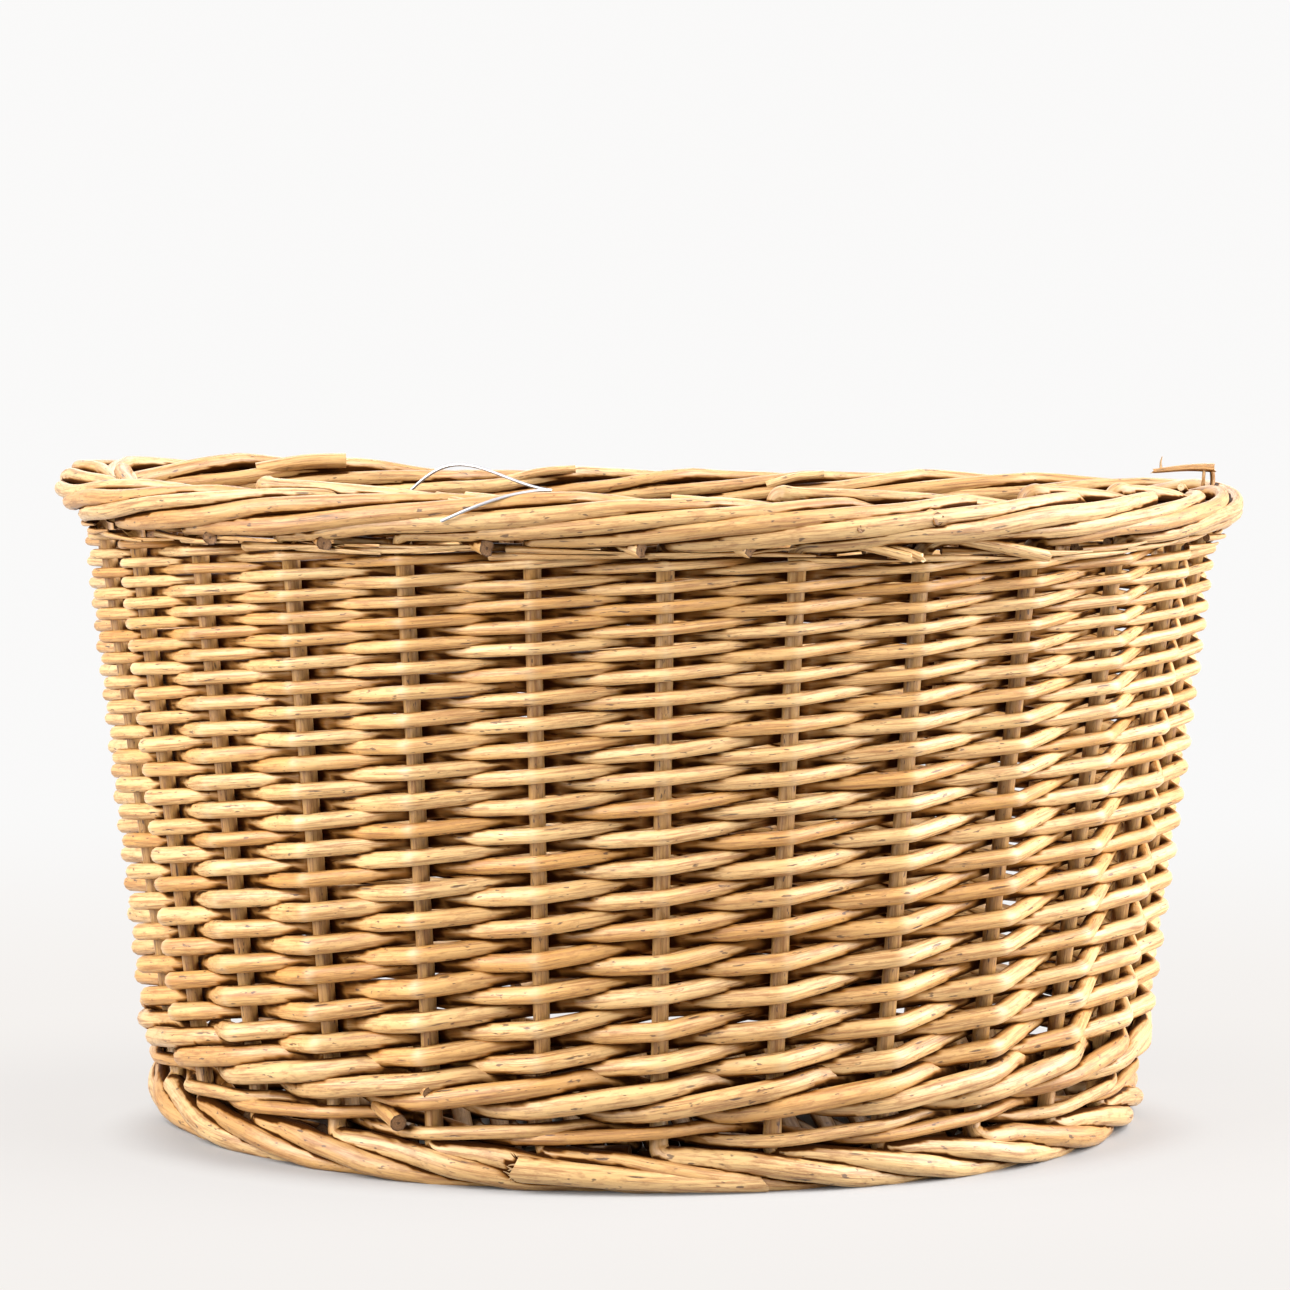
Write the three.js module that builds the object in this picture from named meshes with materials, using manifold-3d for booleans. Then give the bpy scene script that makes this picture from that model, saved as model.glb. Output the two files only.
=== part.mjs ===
// Wicker bicycle basket: a D-shaped willow basket that flares towards the top.
// Units are millimetres. The rounded front faces -Y, the flat back faces +Y, +Z is up.
import * as THREE from "three";
import { mergeVertices } from "three/addons/utils/BufferGeometryUtils.js";
import Module from "manifold-3d";

// Overall form, measured on the line of the stakes
const HEIGHT = 230;
const RIM_HALF_WIDTH = 201;
const RIM_FRONT_DEPTH = 186;
const RIM_BACK_DEPTH = 62;
const BASE_HALF_WIDTH = 172;
const BASE_FRONT_DEPTH = 165;
const BASE_BACK_DEPTH = 55;
const BASE_FORWARD_SHIFT = 3;
const FRONT_ROUNDNESS = 2.1;
const BACK_ROUNDNESS = 3.5;

// Rods
const STAKE_COUNT = 25;
const STAKE_SHIFT = 0.12;
const STAKE_DIAMETER = 6;
const WEAVER_BUTT_DIAMETER = 5.4;
const WEAVER_TIP_DIAMETER = 2.5;
const WALE_REPEAT = 3;
const UPSET_WALE_RODS = 3;
const UPSET_WALE_DIAMETER = 5;
const FINE_WALE_RODS = 2;
const FINE_WALE_DIAMETER = 2.4;

// Rolled border at the top and rolled foot at the bottom
const BORDER_STRANDS = 6;
const BORDER_STRAND_GAP = 2.2;
const BORDER_FLATNESS = 0.65;
const BORDER_OVERHANG = 2.5;
const FOOT_STRANDS = 5;
const FOOT_STRAND_GAP = 1.5;
const FOOT_FLATNESS = 0.66;
const FOOT_FLAT_DEPTH = 1;
const STROKE_STEPS_PER_STAKE = 2;
const KNUCKLE_REACH = 2.6;

// Base
const BASE_STICK_COUNT = 3;
const BASE_STICK_DIAMETER = 5;
const BASE_WEAVER_DIAMETER = 5.6;
const BASE_EDGE_INSET = 13;
const BASE_STICK_END_INSET = 8;

// Tie wire on the front border
const WIRE_DIAMETER = 1.2;
const WIRE_LEFT_PLACE = 10.05;
const WIRE_SPAN = 1.1;
const WIRE_START_SHARE = 0.25;
const WIRE_LIFT = 8;
const WIRE_INSIDE_ANGLE = 0.8 * Math.PI;

// Clearances
const ROW_GAP = 0.5;
const PASS_GAP = 0.4;

// How finely round things are faceted
const STAKE_SIDES = 5;
const ROD_SIDES = 4;
const WIRE_STEPS = 7;
const PLAN_POINTS = 360;

const stakeRadius = STAKE_DIAMETER / 2;
const up = new THREE.Vector3(0, 0, 1);

// Half axes of the loop that the strands of a rolled edge run round, seen end on
function rollLoop(strands, gap, flatness) {
  const length = strands * (STAKE_DIAMETER + gap);
  const across = (length / (2 * Math.PI)) * Math.sqrt(2 / (1 + flatness * flatness));
  return { strands, across, tall: across * flatness };
}

const border = rollLoop(BORDER_STRANDS, BORDER_STRAND_GAP, BORDER_FLATNESS);
const foot = rollLoop(FOOT_STRANDS, FOOT_STRAND_GAP, FOOT_FLATNESS);
const borderZ = HEIGHT - border.tall - stakeRadius;
const footZ = foot.tall + stakeRadius - FOOT_FLAT_DEPTH;
const borderUnderside = borderZ - border.tall - stakeRadius;
const footTop = footZ + foot.tall + stakeRadius;

// The rim's box is centred on the origin, so the D sits back by half its difference in depth
const rimCentreY = (RIM_FRONT_DEPTH - RIM_BACK_DEPTH) / 2;
const baseCentreY = rimCentreY - BASE_FORWARD_SHIFT;

function power(value, exponent) {
  return Math.sign(value) * Math.abs(value) ** exponent;
}

// D-shaped line round the basket, starting at the middle of the back and going round by the left
function planLine(halfWidth, frontDepth, backDepth, centreY, z) {
  const points = [];
  for (let i = 0; i < PLAN_POINTS; i += 1) {
    const angle = Math.PI / 2 + (2 * Math.PI * i) / PLAN_POINTS;
    const isBack = Math.sin(angle) >= 0;
    const exponent = 2 / (isBack ? BACK_ROUNDNESS : FRONT_ROUNDNESS);
    const depth = isBack ? backDepth : frontDepth;
    const x = halfWidth * power(Math.cos(angle), exponent);
    const y = centreY + depth * power(Math.sin(angle), exponent);
    points.push(new THREE.Vector3(x, y, z));
  }
  const line = new THREE.CatmullRomCurve3(points, true);
  line.arcLengthDivisions = 4 * PLAN_POINTS;
  return line;
}

const rimLine = planLine(RIM_HALF_WIDTH, RIM_FRONT_DEPTH, RIM_BACK_DEPTH, rimCentreY, borderZ);
const baseLine = planLine(BASE_HALF_WIDTH, BASE_FRONT_DEPTH, BASE_BACK_DEPTH, baseCentreY, footZ);

// Places along a line are counted in stakes, so 0 is the first stake and 1.5 is midway to the third.
// The first stake stands a little to one side of the middle of the back.
function share(place) {
  const turns = (place + STAKE_SHIFT) / STAKE_COUNT;
  return turns - Math.floor(turns);
}

function pointOn(line, place) {
  return line.getPointAt(share(place));
}

function outwardOf(line, place) {
  const tangent = line.getTangentAt(share(place));
  return new THREE.Vector3(tangent.y, -tangent.x, 0).normalize();
}

function wrap(step) {
  return ((step % STAKE_COUNT) + STAKE_COUNT) % STAKE_COUNT;
}

const stakeFeet = [];
const stakeTops = [];
for (let i = 0; i < STAKE_COUNT; i += 1) {
  stakeFeet.push(pointOn(baseLine, i));
  stakeTops.push(pointOn(rimLine, i));
}

// Outwards at a stake is square to the line between the stakes on either side
const stakeOutward = [];
for (let i = 0; i < STAKE_COUNT; i += 1) {
  const before = wrap(i - 1);
  const after = wrap(i + 1);
  const along = stakeFeet[after].clone().add(stakeTops[after]);
  along.sub(stakeFeet[before]).sub(stakeTops[before]);
  stakeOutward.push(new THREE.Vector3(along.y, -along.x, 0).normalize());
}

// Centre of a stake at a height
function stakeAt(index, z) {
  const rise = (z - footZ) / (borderZ - footZ);
  return stakeFeet[index].clone().lerp(stakeTops[index], rise);
}

function besideStake(index, z, offset) {
  return stakeAt(index, z).addScaledVector(stakeOutward[index], offset);
}

// Centre of a rod where it bends round a stake, side 1 on the outside and -1 on the inside.
// The more it leans in towards the stake on its way, the further out the bend stands.
function passPoint(step, z, rodRadius, side) {
  const index = wrap(step);
  const clear = stakeRadius + rodRadius + PASS_GAP;
  const here = besideStake(index, z, side * clear);
  let steepest = 0;
  [wrap(step - 1), wrap(step + 1)].forEach((next) => {
    const way = besideStake(next, z, -side * clear).sub(here).setZ(0).normalize();
    steepest = Math.max(steepest, -side * way.dot(stakeOutward[index]));
  });
  return besideStake(index, z, (side * clear) / Math.sqrt(1 - steepest * steepest));
}

function direction(from, to) {
  return to.clone().sub(from).normalize();
}

// A rod along a chain of points, tapering from one end to the other and kept from twisting
function rod(points, startDiameter, endDiameter, sides) {
  const last = points.length - 1;
  const positions = [];
  const faces = [];
  let normal = up;
  points.forEach((point, i) => {
    const tangent = new THREE.Vector3();
    if (i > 0) {
      tangent.add(direction(points[i - 1], point));
    }
    if (i < last) {
      tangent.add(direction(point, points[i + 1]));
    }
    tangent.normalize();
    normal = normal.clone().addScaledVector(tangent, -normal.dot(tangent)).normalize();
    const across = tangent.clone().cross(normal);
    const radius = THREE.MathUtils.lerp(startDiameter, endDiameter, i / last) / 2;
    for (let k = 0; k < sides; k += 1) {
      const angle = (2 * Math.PI * k) / sides;
      const corner = point.clone().addScaledVector(normal, radius * Math.cos(angle));
      corner.addScaledVector(across, radius * Math.sin(angle));
      positions.push(corner.x, corner.y, corner.z);
    }
  });
  for (let i = 0; i < last; i += 1) {
    for (let k = 0; k < sides; k += 1) {
      const here = i * sides + k;
      const beside = i * sides + ((k + 1) % sides);
      faces.push(here, beside, beside + sides, here, beside + sides, here + sides);
    }
  }
  const end = last * sides;
  for (let k = 1; k < sides - 1; k += 1) {
    faces.push(0, k + 1, k, end, end + k, end + k + 1);
  }
  const geometry = new THREE.BufferGeometry();
  geometry.setAttribute("position", new THREE.Float32BufferAttribute(positions, 3));
  geometry.setIndex(faces);
  geometry.computeVertexNormals();
  return geometry;
}

// Places round an ellipse, evenly spaced along it, counted from the side nearest the wall
function loopPlace(loop, turn, wallSide) {
  const round = new THREE.EllipseCurve(0, 0, loop.across, loop.tall, 0, 2 * Math.PI);
  const quarter = wallSide < 0 ? 0.75 : 0.25;
  const along = quarter - wallSide * turn;
  return round.getPointAt(along - Math.floor(along));
}

// One stroke of a rolled edge. It leaves its stake, goes outside, over the edge and back inside.
// wallSide is -1 where the wall is below the edge and 1 where the wall is above it.
function strokePoints(line, loop, overhang, stake, wallSide) {
  const strokeAt = (step) => {
    const place = stake + step;
    const offset = loopPlace(loop, step / loop.strands, wallSide);
    const point = pointOn(line, place);
    point.addScaledVector(outwardOf(line, place), overhang + offset.x);
    point.z += offset.y;
    return point;
  };
  const knuckle = strokeAt((KNUCKLE_REACH * STAKE_COUNT) / line.getLength());
  const points = [stakeAt(stake, knuckle.z + wallSide * KNUCKLE_REACH), knuckle];
  const stepSize = 1 / STROKE_STEPS_PER_STAKE;
  for (let step = stepSize / 2; step < loop.strands; step += stepSize) {
    points.push(strokeAt(step));
  }
  return points;
}

const wasm = await Module();
wasm.setup();

function solidOf(geometry) {
  const plain = new THREE.BufferGeometry();
  plain.setAttribute("position", geometry.getAttribute("position").clone());
  if (geometry.index) {
    plain.setIndex(geometry.index.clone());
  }
  const merged = mergeVertices(plain, 1e-4);
  const mesh = new wasm.Mesh({
    numProp: 3,
    vertProperties: new Float32Array(merged.getAttribute("position").array),
    triVerts: new Uint32Array(merged.index.array),
  });
  return new wasm.Manifold(mesh);
}

function geometryOf(solid) {
  const mesh = solid.getMesh();
  const positions = [];
  for (let i = 0; i < mesh.numVert; i += 1) {
    const start = i * mesh.numProp;
    positions.push(...mesh.vertProperties.slice(start, start + 3));
  }
  const geometry = new THREE.BufferGeometry();
  geometry.setAttribute("position", new THREE.Float32BufferAttribute(positions, 3));
  geometry.setIndex([...mesh.triVerts]);
  geometry.computeVertexNormals();
  return geometry;
}

const basket = new THREE.Group();
basket.name = "bicycle_basket";

const stakeColour = 0xb98648;
const weaverColour = 0xd3a467;
const waleColour = 0xc8965a;
const baseColour = 0xc19056;
const wireColour = 0xb4b6ba;

function addPiece(name, geometry, colour, metalness) {
  const material = new THREE.MeshStandardMaterial({ color: colour, roughness: 0.45, metalness });
  const piece = new THREE.Mesh(geometry, material);
  piece.name = name;
  basket.add(piece);
}

function numbered(stem, index) {
  return `${stem}_${String(index + 1).padStart(2, "0")}`;
}

// Stakes: foot stroke, upright and border stroke are one bent rod, cut flat where it stands
const floorBlock = new THREE.BoxGeometry(4 * RIM_HALF_WIDTH, 4 * RIM_HALF_WIDTH, HEIGHT);
floorBlock.translate(0, 0, -HEIGHT / 2);
const floor = solidOf(floorBlock);
for (let i = 0; i < STAKE_COUNT; i += 1) {
  const footStroke = strokePoints(baseLine, foot, 0, i, 1);
  const borderStroke = strokePoints(rimLine, border, BORDER_OVERHANG, i, -1);
  const points = footStroke.reverse().concat(borderStroke);
  const bentRod = solidOf(rod(points, STAKE_DIAMETER, STAKE_DIAMETER, STAKE_SIDES));
  addPiece(numbered("stake", i), geometryOf(bentRod.subtract(floor)), stakeColour, 0);
}

// A wale is a set of rods, each in front of two stakes and behind one. A stroke starts low and ends
// high on the outside, and passes behind midway between, so the rods lie like the strands of a rope.
function addWale(stem, rods, diameter, lowestZ, firstStake) {
  const pitch = diameter + ROW_GAP;
  for (let i = 0; i < rods; i += 1) {
    const points = [];
    for (let step = 0; step < STAKE_COUNT; step += 1) {
      const beat = step % WALE_REPEAT;
      const behindLevel = step === 0 ? 0 : 1;
      const level = beat === 0 ? behindLevel : 2 * (beat - 1);
      const z = lowestZ + diameter / 2 + level * pitch;
      points.push(passPoint(firstStake + i + step, z, diameter / 2, beat === 0 ? -1 : 1));
    }
    addPiece(numbered(stem, i), rod(points, diameter, diameter, ROD_SIDES), waleColour, 0);
  }
  return lowestZ + WALE_REPEAT * pitch;
}

const fineWaleTop = addWale("fine_wale", FINE_WALE_RODS, FINE_WALE_DIAMETER, footTop + ROW_GAP, 0);
const upsetWaleTop = addWale("upset_wale", UPSET_WALE_RODS, UPSET_WALE_DIAMETER, fineWaleTop, 1);

// Weavers: one rod starts behind every stake with its thick end, and they all climb together, each
// going in front of one stake and behind the next, one row higher every time
const buttPitch = WEAVER_BUTT_DIAMETER + ROW_GAP;
const tipPitch = WEAVER_TIP_DIAMETER + ROW_GAP;
const meanPitch = (buttPitch + tipPitch) / 2;
const waleStep = Math.min(buttPitch, UPSET_WALE_DIAMETER + ROW_GAP);
const firstRowZ = upsetWaleTop - waleStep + WEAVER_BUTT_DIAMETER / 2;
const lastRowZ = borderUnderside - ROW_GAP - WEAVER_TIP_DIAMETER / 2;
const rows = 2 * Math.floor((lastRowZ - firstRowZ) / meanPitch / 2);
const stretch = (lastRowZ - firstRowZ) / (rows * meanPitch);

function rowZ(row) {
  return firstRowZ + stretch * row * (buttPitch + ((tipPitch - buttPitch) * row) / (2 * rows));
}

for (let i = 0; i < STAKE_COUNT; i += 1) {
  const points = [];
  for (let row = 0; row <= rows; row += 1) {
    const diameter = THREE.MathUtils.lerp(WEAVER_BUTT_DIAMETER, WEAVER_TIP_DIAMETER, row / rows);
    points.push(passPoint(i + row, rowZ(row), diameter / 2, row % 2 === 0 ? -1 : 1));
  }
  const weaver = rod(points, WEAVER_BUTT_DIAMETER, WEAVER_TIP_DIAMETER, ROD_SIDES);
  addPiece(numbered("weaver", i), weaver, weaverColour, 0);
}

// Base: sticks from side to side, woven front to back by a rod that doubles back at the edge.
// The sticks lie on the inner shoulder of the rolled foot.
const seat = Math.min(1, BASE_STICK_END_INSET / (foot.across + stakeRadius));
const shoulder = (foot.tall + stakeRadius) * Math.sqrt(1 - seat * seat);
const baseZ = footZ + shoulder + BASE_STICK_DIAMETER / 2;
const baseFront = baseCentreY - BASE_FRONT_DEPTH;
const baseBack = baseCentreY + BASE_BACK_DEPTH;

// Half width of the base inside its edge, at a distance from front to back
function halfWidthAt(y, inset) {
  const isBack = y >= baseCentreY;
  const depth = (isBack ? BASE_BACK_DEPTH : BASE_FRONT_DEPTH) - inset;
  const roundness = isBack ? BACK_ROUNDNESS : FRONT_ROUNDNESS;
  const reach = Math.min(1, Math.abs(y - baseCentreY) / depth);
  return (BASE_HALF_WIDTH - inset) * (1 - reach ** roundness) ** (1 / roundness);
}

// Front and back ends of the base inside its edge, at a distance from the middle
function depthAt(x, inset) {
  const reach = Math.min(1, Math.abs(x) / (BASE_HALF_WIDTH - inset));
  const front = (BASE_FRONT_DEPTH - inset) * (1 - reach ** FRONT_ROUNDNESS) ** (1 / FRONT_ROUNDNESS);
  const back = (BASE_BACK_DEPTH - inset) * (1 - reach ** BACK_ROUNDNESS) ** (1 / BACK_ROUNDNESS);
  return { front: baseCentreY - front, back: baseCentreY + back };
}

const stickSpread = (baseBack - baseFront - 2 * BASE_EDGE_INSET) / (BASE_STICK_COUNT + 0.5);
const stickY = [];
for (let i = 0; i < BASE_STICK_COUNT; i += 1) {
  const y = baseBack - BASE_EDGE_INSET - (i + 0.5) * stickSpread;
  const half = halfWidthAt(y, BASE_STICK_END_INSET);
  const ends = [new THREE.Vector3(-half, y, baseZ), new THREE.Vector3(half, y, baseZ)];
  const stick = rod(ends, BASE_STICK_DIAMETER, BASE_STICK_DIAMETER, STAKE_SIDES);
  stickY.push(y);
  addPiece(numbered("base_stick", i), stick, baseColour, 0);
}

const basePitch = BASE_WEAVER_DIAMETER + ROW_GAP;
const baseLift = (BASE_STICK_DIAMETER + BASE_WEAVER_DIAMETER) / 2 + PASS_GAP;
const baseSlope = Math.atan2(2 * baseLift, stickSpread);
const baseOffset = baseLift / Math.cos(baseSlope);
const baseReach = BASE_HALF_WIDTH - BASE_EDGE_INSET - BASE_WEAVER_DIAMETER;
const passes = 2 * Math.floor(baseReach / basePitch);

function passX(pass) {
  return (pass - (passes - 1) / 2) * basePitch;
}

// The two passes that meet in a turn end in line with each other, and clear of the sticks
function turnX(pass, mate) {
  return Math.max(Math.abs(passX(pass)), Math.abs(passX(mate)));
}

const basePoints = [];
for (let pass = 0; pass < passes; pass += 1) {
  const isEven = pass % 2 === 0;
  const frontMate = isEven ? pass + 1 : pass - 1;
  const backMate = pass + pass - frontMate;
  let back = depthAt(turnX(pass, backMate), BASE_EDGE_INSET).back;
  let front = depthAt(turnX(pass, frontMate), BASE_EDGE_INSET).front;
  stickY.forEach((y) => {
    back = Math.abs(y - back) < 2 * baseLift ? y - 2 * baseLift : back;
    front = Math.abs(y - front) < 2 * baseLift ? y + 2 * baseLift : front;
  });
  const run = [new THREE.Vector3(passX(pass), back, baseZ)];
  stickY.forEach((y, i) => {
    const side = (i + pass) % 2 === 0 ? 1 : -1;
    if (y > front && y < back) {
      run.push(new THREE.Vector3(passX(pass), y, baseZ + side * baseOffset));
    }
  });
  run.push(new THREE.Vector3(passX(pass), front, baseZ));
  basePoints.push(...(isEven ? run : run.reverse()));
}
const baseWeaver = rod(basePoints, BASE_WEAVER_DIAMETER, BASE_WEAVER_DIAMETER, ROD_SIDES);
addPiece("base_weaver", baseWeaver, baseColour, 0);

// Tie wire: out between the border's rods, over the border, a free loop, and down on the inside
const wireLoop = {
  across: border.across + stakeRadius + WIRE_DIAMETER / 2 + PASS_GAP,
  tall: border.tall + stakeRadius + WIRE_DIAMETER / 2 + PASS_GAP,
};

function onBorder(place, angle, lift) {
  const point = pointOn(rimLine, place);
  const out = BORDER_OVERHANG + wireLoop.across * Math.cos(angle);
  point.addScaledVector(outwardOf(rimLine, place), out);
  point.z += wireLoop.tall * Math.sin(angle) + lift;
  return point;
}

const wireTop = Math.PI / 2;
const wrapPoints = [];
const archPoints = [];
for (let i = 0; i < WIRE_STEPS; i += 1) {
  const along = i / WIRE_STEPS;
  const place = WIRE_LEFT_PLACE + WIRE_SPAN * THREE.MathUtils.lerp(WIRE_START_SHARE, 1, along);
  wrapPoints.push(onBorder(place, wireTop * along, 0));
}
for (let i = 0; i <= WIRE_STEPS; i += 1) {
  const along = i / WIRE_STEPS;
  const place = WIRE_LEFT_PLACE + WIRE_SPAN * (1 - along);
  const angle = THREE.MathUtils.lerp(wireTop, WIRE_INSIDE_ANGLE, along);
  archPoints.push(onBorder(place, angle, WIRE_LIFT * Math.sin(Math.PI * along)));
}
const wirePoints = wrapPoints.concat(archPoints);
const wire = rod(wirePoints, WIRE_DIAMETER, WIRE_DIAMETER, ROD_SIDES);
addPiece("tie_wire", wire, wireColour, 1);

export default basket;
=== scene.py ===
"""Looks of the wicker bicycle basket: every rod of the frame is redrawn as a real willow rod."""
import itertools
import math
import random

import bpy
import numpy as np
from mathutils import Matrix, Vector


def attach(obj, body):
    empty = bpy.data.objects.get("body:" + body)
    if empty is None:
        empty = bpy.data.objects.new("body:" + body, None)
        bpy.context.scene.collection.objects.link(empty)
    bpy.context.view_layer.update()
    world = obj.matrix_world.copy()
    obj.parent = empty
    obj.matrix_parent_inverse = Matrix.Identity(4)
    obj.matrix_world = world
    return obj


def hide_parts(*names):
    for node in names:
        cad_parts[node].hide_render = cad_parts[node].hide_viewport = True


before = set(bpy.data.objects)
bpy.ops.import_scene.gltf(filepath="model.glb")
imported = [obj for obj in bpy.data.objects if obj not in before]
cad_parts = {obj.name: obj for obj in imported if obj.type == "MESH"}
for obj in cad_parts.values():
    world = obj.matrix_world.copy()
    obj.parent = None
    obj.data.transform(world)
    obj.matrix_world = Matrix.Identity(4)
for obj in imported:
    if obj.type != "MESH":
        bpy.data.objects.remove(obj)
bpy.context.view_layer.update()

# Overall form in metres, measured on the line of the stakes, as in the solid model
HEIGHT = 0.230
RIM_HALF_WIDTH = 0.201
RIM_FRONT_DEPTH = 0.186
RIM_BACK_DEPTH = 0.062
BASE_HALF_WIDTH = 0.172
BASE_FRONT_DEPTH = 0.165
BASE_BACK_DEPTH = 0.055
BASE_FORWARD_SHIFT = 0.003
FRONT_ROUNDNESS = 2.1
BACK_ROUNDNESS = 3.5

# Rods of the solid model; places and spans along the basket are counted in stakes
STAKE_COUNT = 25
STAKE_SHIFT = 0.12
STAKE_DIAMETER = 0.006
WEAVER_BUTT_DIAMETER = 0.0054
WEAVER_TIP_DIAMETER = 0.0025
WALE_REPEAT = 3
WALE_LEVELS = (1.0, 0.4, 1.6)
WALE_HALFWAY_LEVELS = {0: -0.15, 2: 2.15}
UPSET_WALE_RODS = 3
UPSET_WALE_DIAMETER = 0.005
FINE_WALE_RODS = 2
FINE_WALE_DIAMETER = 0.0024
BORDER_STRANDS = 6
BORDER_STRAND_GAP = 0.0022
BORDER_FLATNESS = 0.65
BORDER_OVERHANG = 0.0025
FOOT_STRANDS = 5
FOOT_STRAND_GAP = 0.0015
FOOT_FLATNESS = 0.66
FOOT_FLAT_DEPTH = 0.001
BASE_STICK_COUNT = 3
BASE_STICK_DIAMETER = 0.005
BASE_WEAVER_DIAMETER = 0.0056
BASE_EDGE_INSET = 0.013
BASE_STICK_END_INSET = 0.008
WIRE_DIAMETER = 0.0012
WIRE_LEFT_PLACE = 10.05
WIRE_SPAN = 1.1
WIRE_START_SHARE = 0.34
WIRE_LIFT = 0.0085
WIRE_INSIDE_ANGLE = 0.74 * math.pi
WIRE_TAIL = 0.07
ROW_GAP = 0.0005
PASS_GAP = 0.0004

# Thickness of the rods as drawn, fuller where real rods press on each other, and how uneven they are
WEAVER_FULLNESS = 1.13
UPRIGHT_RADIUS = 0.0028
BORDER_RADIUS = 0.0030
FOOT_RADIUS = 0.0039
UPSET_WALE_RADIUS = 0.0036
FINE_WALE_RADIUS = 0.0024
BASE_STICK_RADIUS = 0.0026
BASE_WEAVER_RADIUS = 0.0031
WIRE_DRAWN_RADIUS = 0.00052
FOOT_TAPER = ((0, 3.5, 5), (1.0, 0.95, 0.8))
BORDER_TAPER = ((0, 3.5, 6, 7.2), (1.04, 0.97, 0.8, 0.6))
FOOT_SIZES = (0.9, 1.04)
BORDER_SIZES = (0.86, 1.08)
WEAVER_SIZES = (0.95, 1.05)
ROD_UNEVENNESS = 0.05
UPRIGHT_UNEVENNESS = 0.03
BORDER_UNEVENNESS = 0.06
BASE_UNEVENNESS = 0.06
ROD_OVALNESS = 0.025
ROD_LUMPINESS = 0.015

# How the rods are bent
WEAVER_BEND = 0.0028
WALE_BEND = 0.009
BASE_BEND = 0.0028
LONGEST_BEND_SHARE = 0.45
BASE_DRAWN_INSET = 0.007
STICK_WOBBLE = 0.0008
WALE_WOBBLE = 0.0005
ROW_WOBBLE = 0.12
KINK_LENGTH = 0.05
KNUCKLE_REACH = 0.004
KNUCKLE_FULLNESS = 1.1
FOOT_KNUCKLE_STRETCH = 1.3
FOOT_KNUCKLE_OUT = 0.0032
FOOT_KNUCKLE_SIZES = (0.6, 1.2)
FOOT_KNUCKLE_LENGTH = 0.35
FOOT_CORNER_SHARE = 0.8
FOOT_END_SHORTFALL = 0.25
FOOT_WOBBLE = 0.0005
BORDER_FRONT_SHARE = 0.56
BORDER_EVENNESS = 0.7
BORDER_SWELL = (-0.13, 0.1)
BORDER_WOBBLE = 0.0008
BORDER_TAIL = 1.2
BORDER_TAIL_LEAD = 0.5
BORDER_TAIL_TURN = 0.7
BORDER_TAIL_CLOSING = 0.82
RIM_WARP = 0.004
RIM_WARP_PLACE = 3.9
RIM_WARP_SPREAD = 1.9
RIM_WARP_FADE = 4

# Bent rod ends along the top of the border, by stake: place, run and lift
ELBOWS = {
    6: (6.3, 0.9, 0.0005),
    8: (8.64, 1.9, 0.0),
    12: (12.85, 1.7, 0.0),
    15: (15.05, 1.0, 0.0),
    16: (16.1, 0.9, -0.0005),
}

# Butt ends under the border, knots on it by place, rise and radius, and a thick end at the back
BUTT_PLACES = (8.44, 9.48, 10.72, 11.82, 12.6, 1.3, 3.6, 20.3, 22.1, 23.7)
BUTT_RADII = (0.0022, 0.0028)
BUTT_TIPS_OUT = (0.0092, 0.0104)
BUTT_RAGGEDNESS = 0.0011
KNOTS = ((13.95, 0.002, 0.0021), (13.36, -0.0012, 0.0012), (9.9, 0.0015, 0.001), (22.6, 0.001, 0.0018))
KNOT_RAGGEDNESS = 0.001
BACK_END = [(3.2, -0.005, 0.003), (2.8, -0.0072, 0.0065), (2.42, -0.0085, 0.008)]

# Stubs below the border by place, run and radius, and short ends inside it by place and run
STUBS = (
    (13.42, 0.36, 0.002), (13.6, 0.26, 0.0018), (14.42, 0.46, 0.0026),
    (19.2, 0.4, 0.0022), (4.1, 0.4, 0.002), (21.2, 0.45, 0.0024),
)
STUB_KIND = {"ragged": 0.0016, "flat": 0.8}
SHORT_ENDS = (
    (10.2, 0.35), (10.44, 0.6), (11.18, 0.6), (12.05, 0.65), (12.12, 0.5),
    (0.4, 0.6), (23.2, 0.5), (18.3, 0.5), (6.2, 0.5),
)
SHORT_END_RISES = (0.007, 0.0085)
SHORT_END_RADII = (0.0015, 0.0017)

# Tips of the weavers under the border
TIP_SHIFTS = (-0.2, 0.2)
TIP_RUNS = (0.7, 1.2)
TIP_RISES = (-0.0125, -0.009)
TIP_SLOPES = (-0.0015, 0.003)
TIP_WAYS_OUT = (0.0045, 0.0062)
TIP_START_RADII = (0.0012, 0.0017)
TIP_END_RADIUS = 0.0004
INNER_TIP_LIFT = 0.0025

# Split stake end at the back and torn foot stroke at the front, by place, way out and rise
SPLIT_HALF = [(18.9, 0.0042, 0.004), (18.92, 0.0047, 0.0085), (18.9, 0.0042, 0.0135)]
SPLIT_THIN_HALF = [(18.88, 0.0007, 0.004), (18.88, 0.001, 0.008), (18.87, 0.0012, 0.0125)]
SPLIT_FLAP = [(18.9, 0.0048, 0.0133), (18.9, -0.0048, 0.0132), (18.92, -0.0173, 0.0118)]
SPLIT_SPLINTER = [(18.92, -0.0143, 0.0125), (18.92, -0.0145, 0.015), (18.92, -0.014, 0.0172)]
TORN_STROKE = [
    (10.82, 0.0105, 0.0012), (11.2, 0.0098, 0.0002), (12.0, 0.0084, -0.002), (12.9, 0.006, -0.0036),
]
TORN_PLACE = 10.84
TORN_OUT = 0.0103
TORN_RISE = 0.0012
TORN_RADIUS = 0.0033
TORN_RAGGEDNESS = 0.0026
FIBRE_COUNT = 16
FIBRE_REACHES = (0.05, 0.12)
FIBRE_DRIFTS = (-0.002, 0.003)
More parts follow.
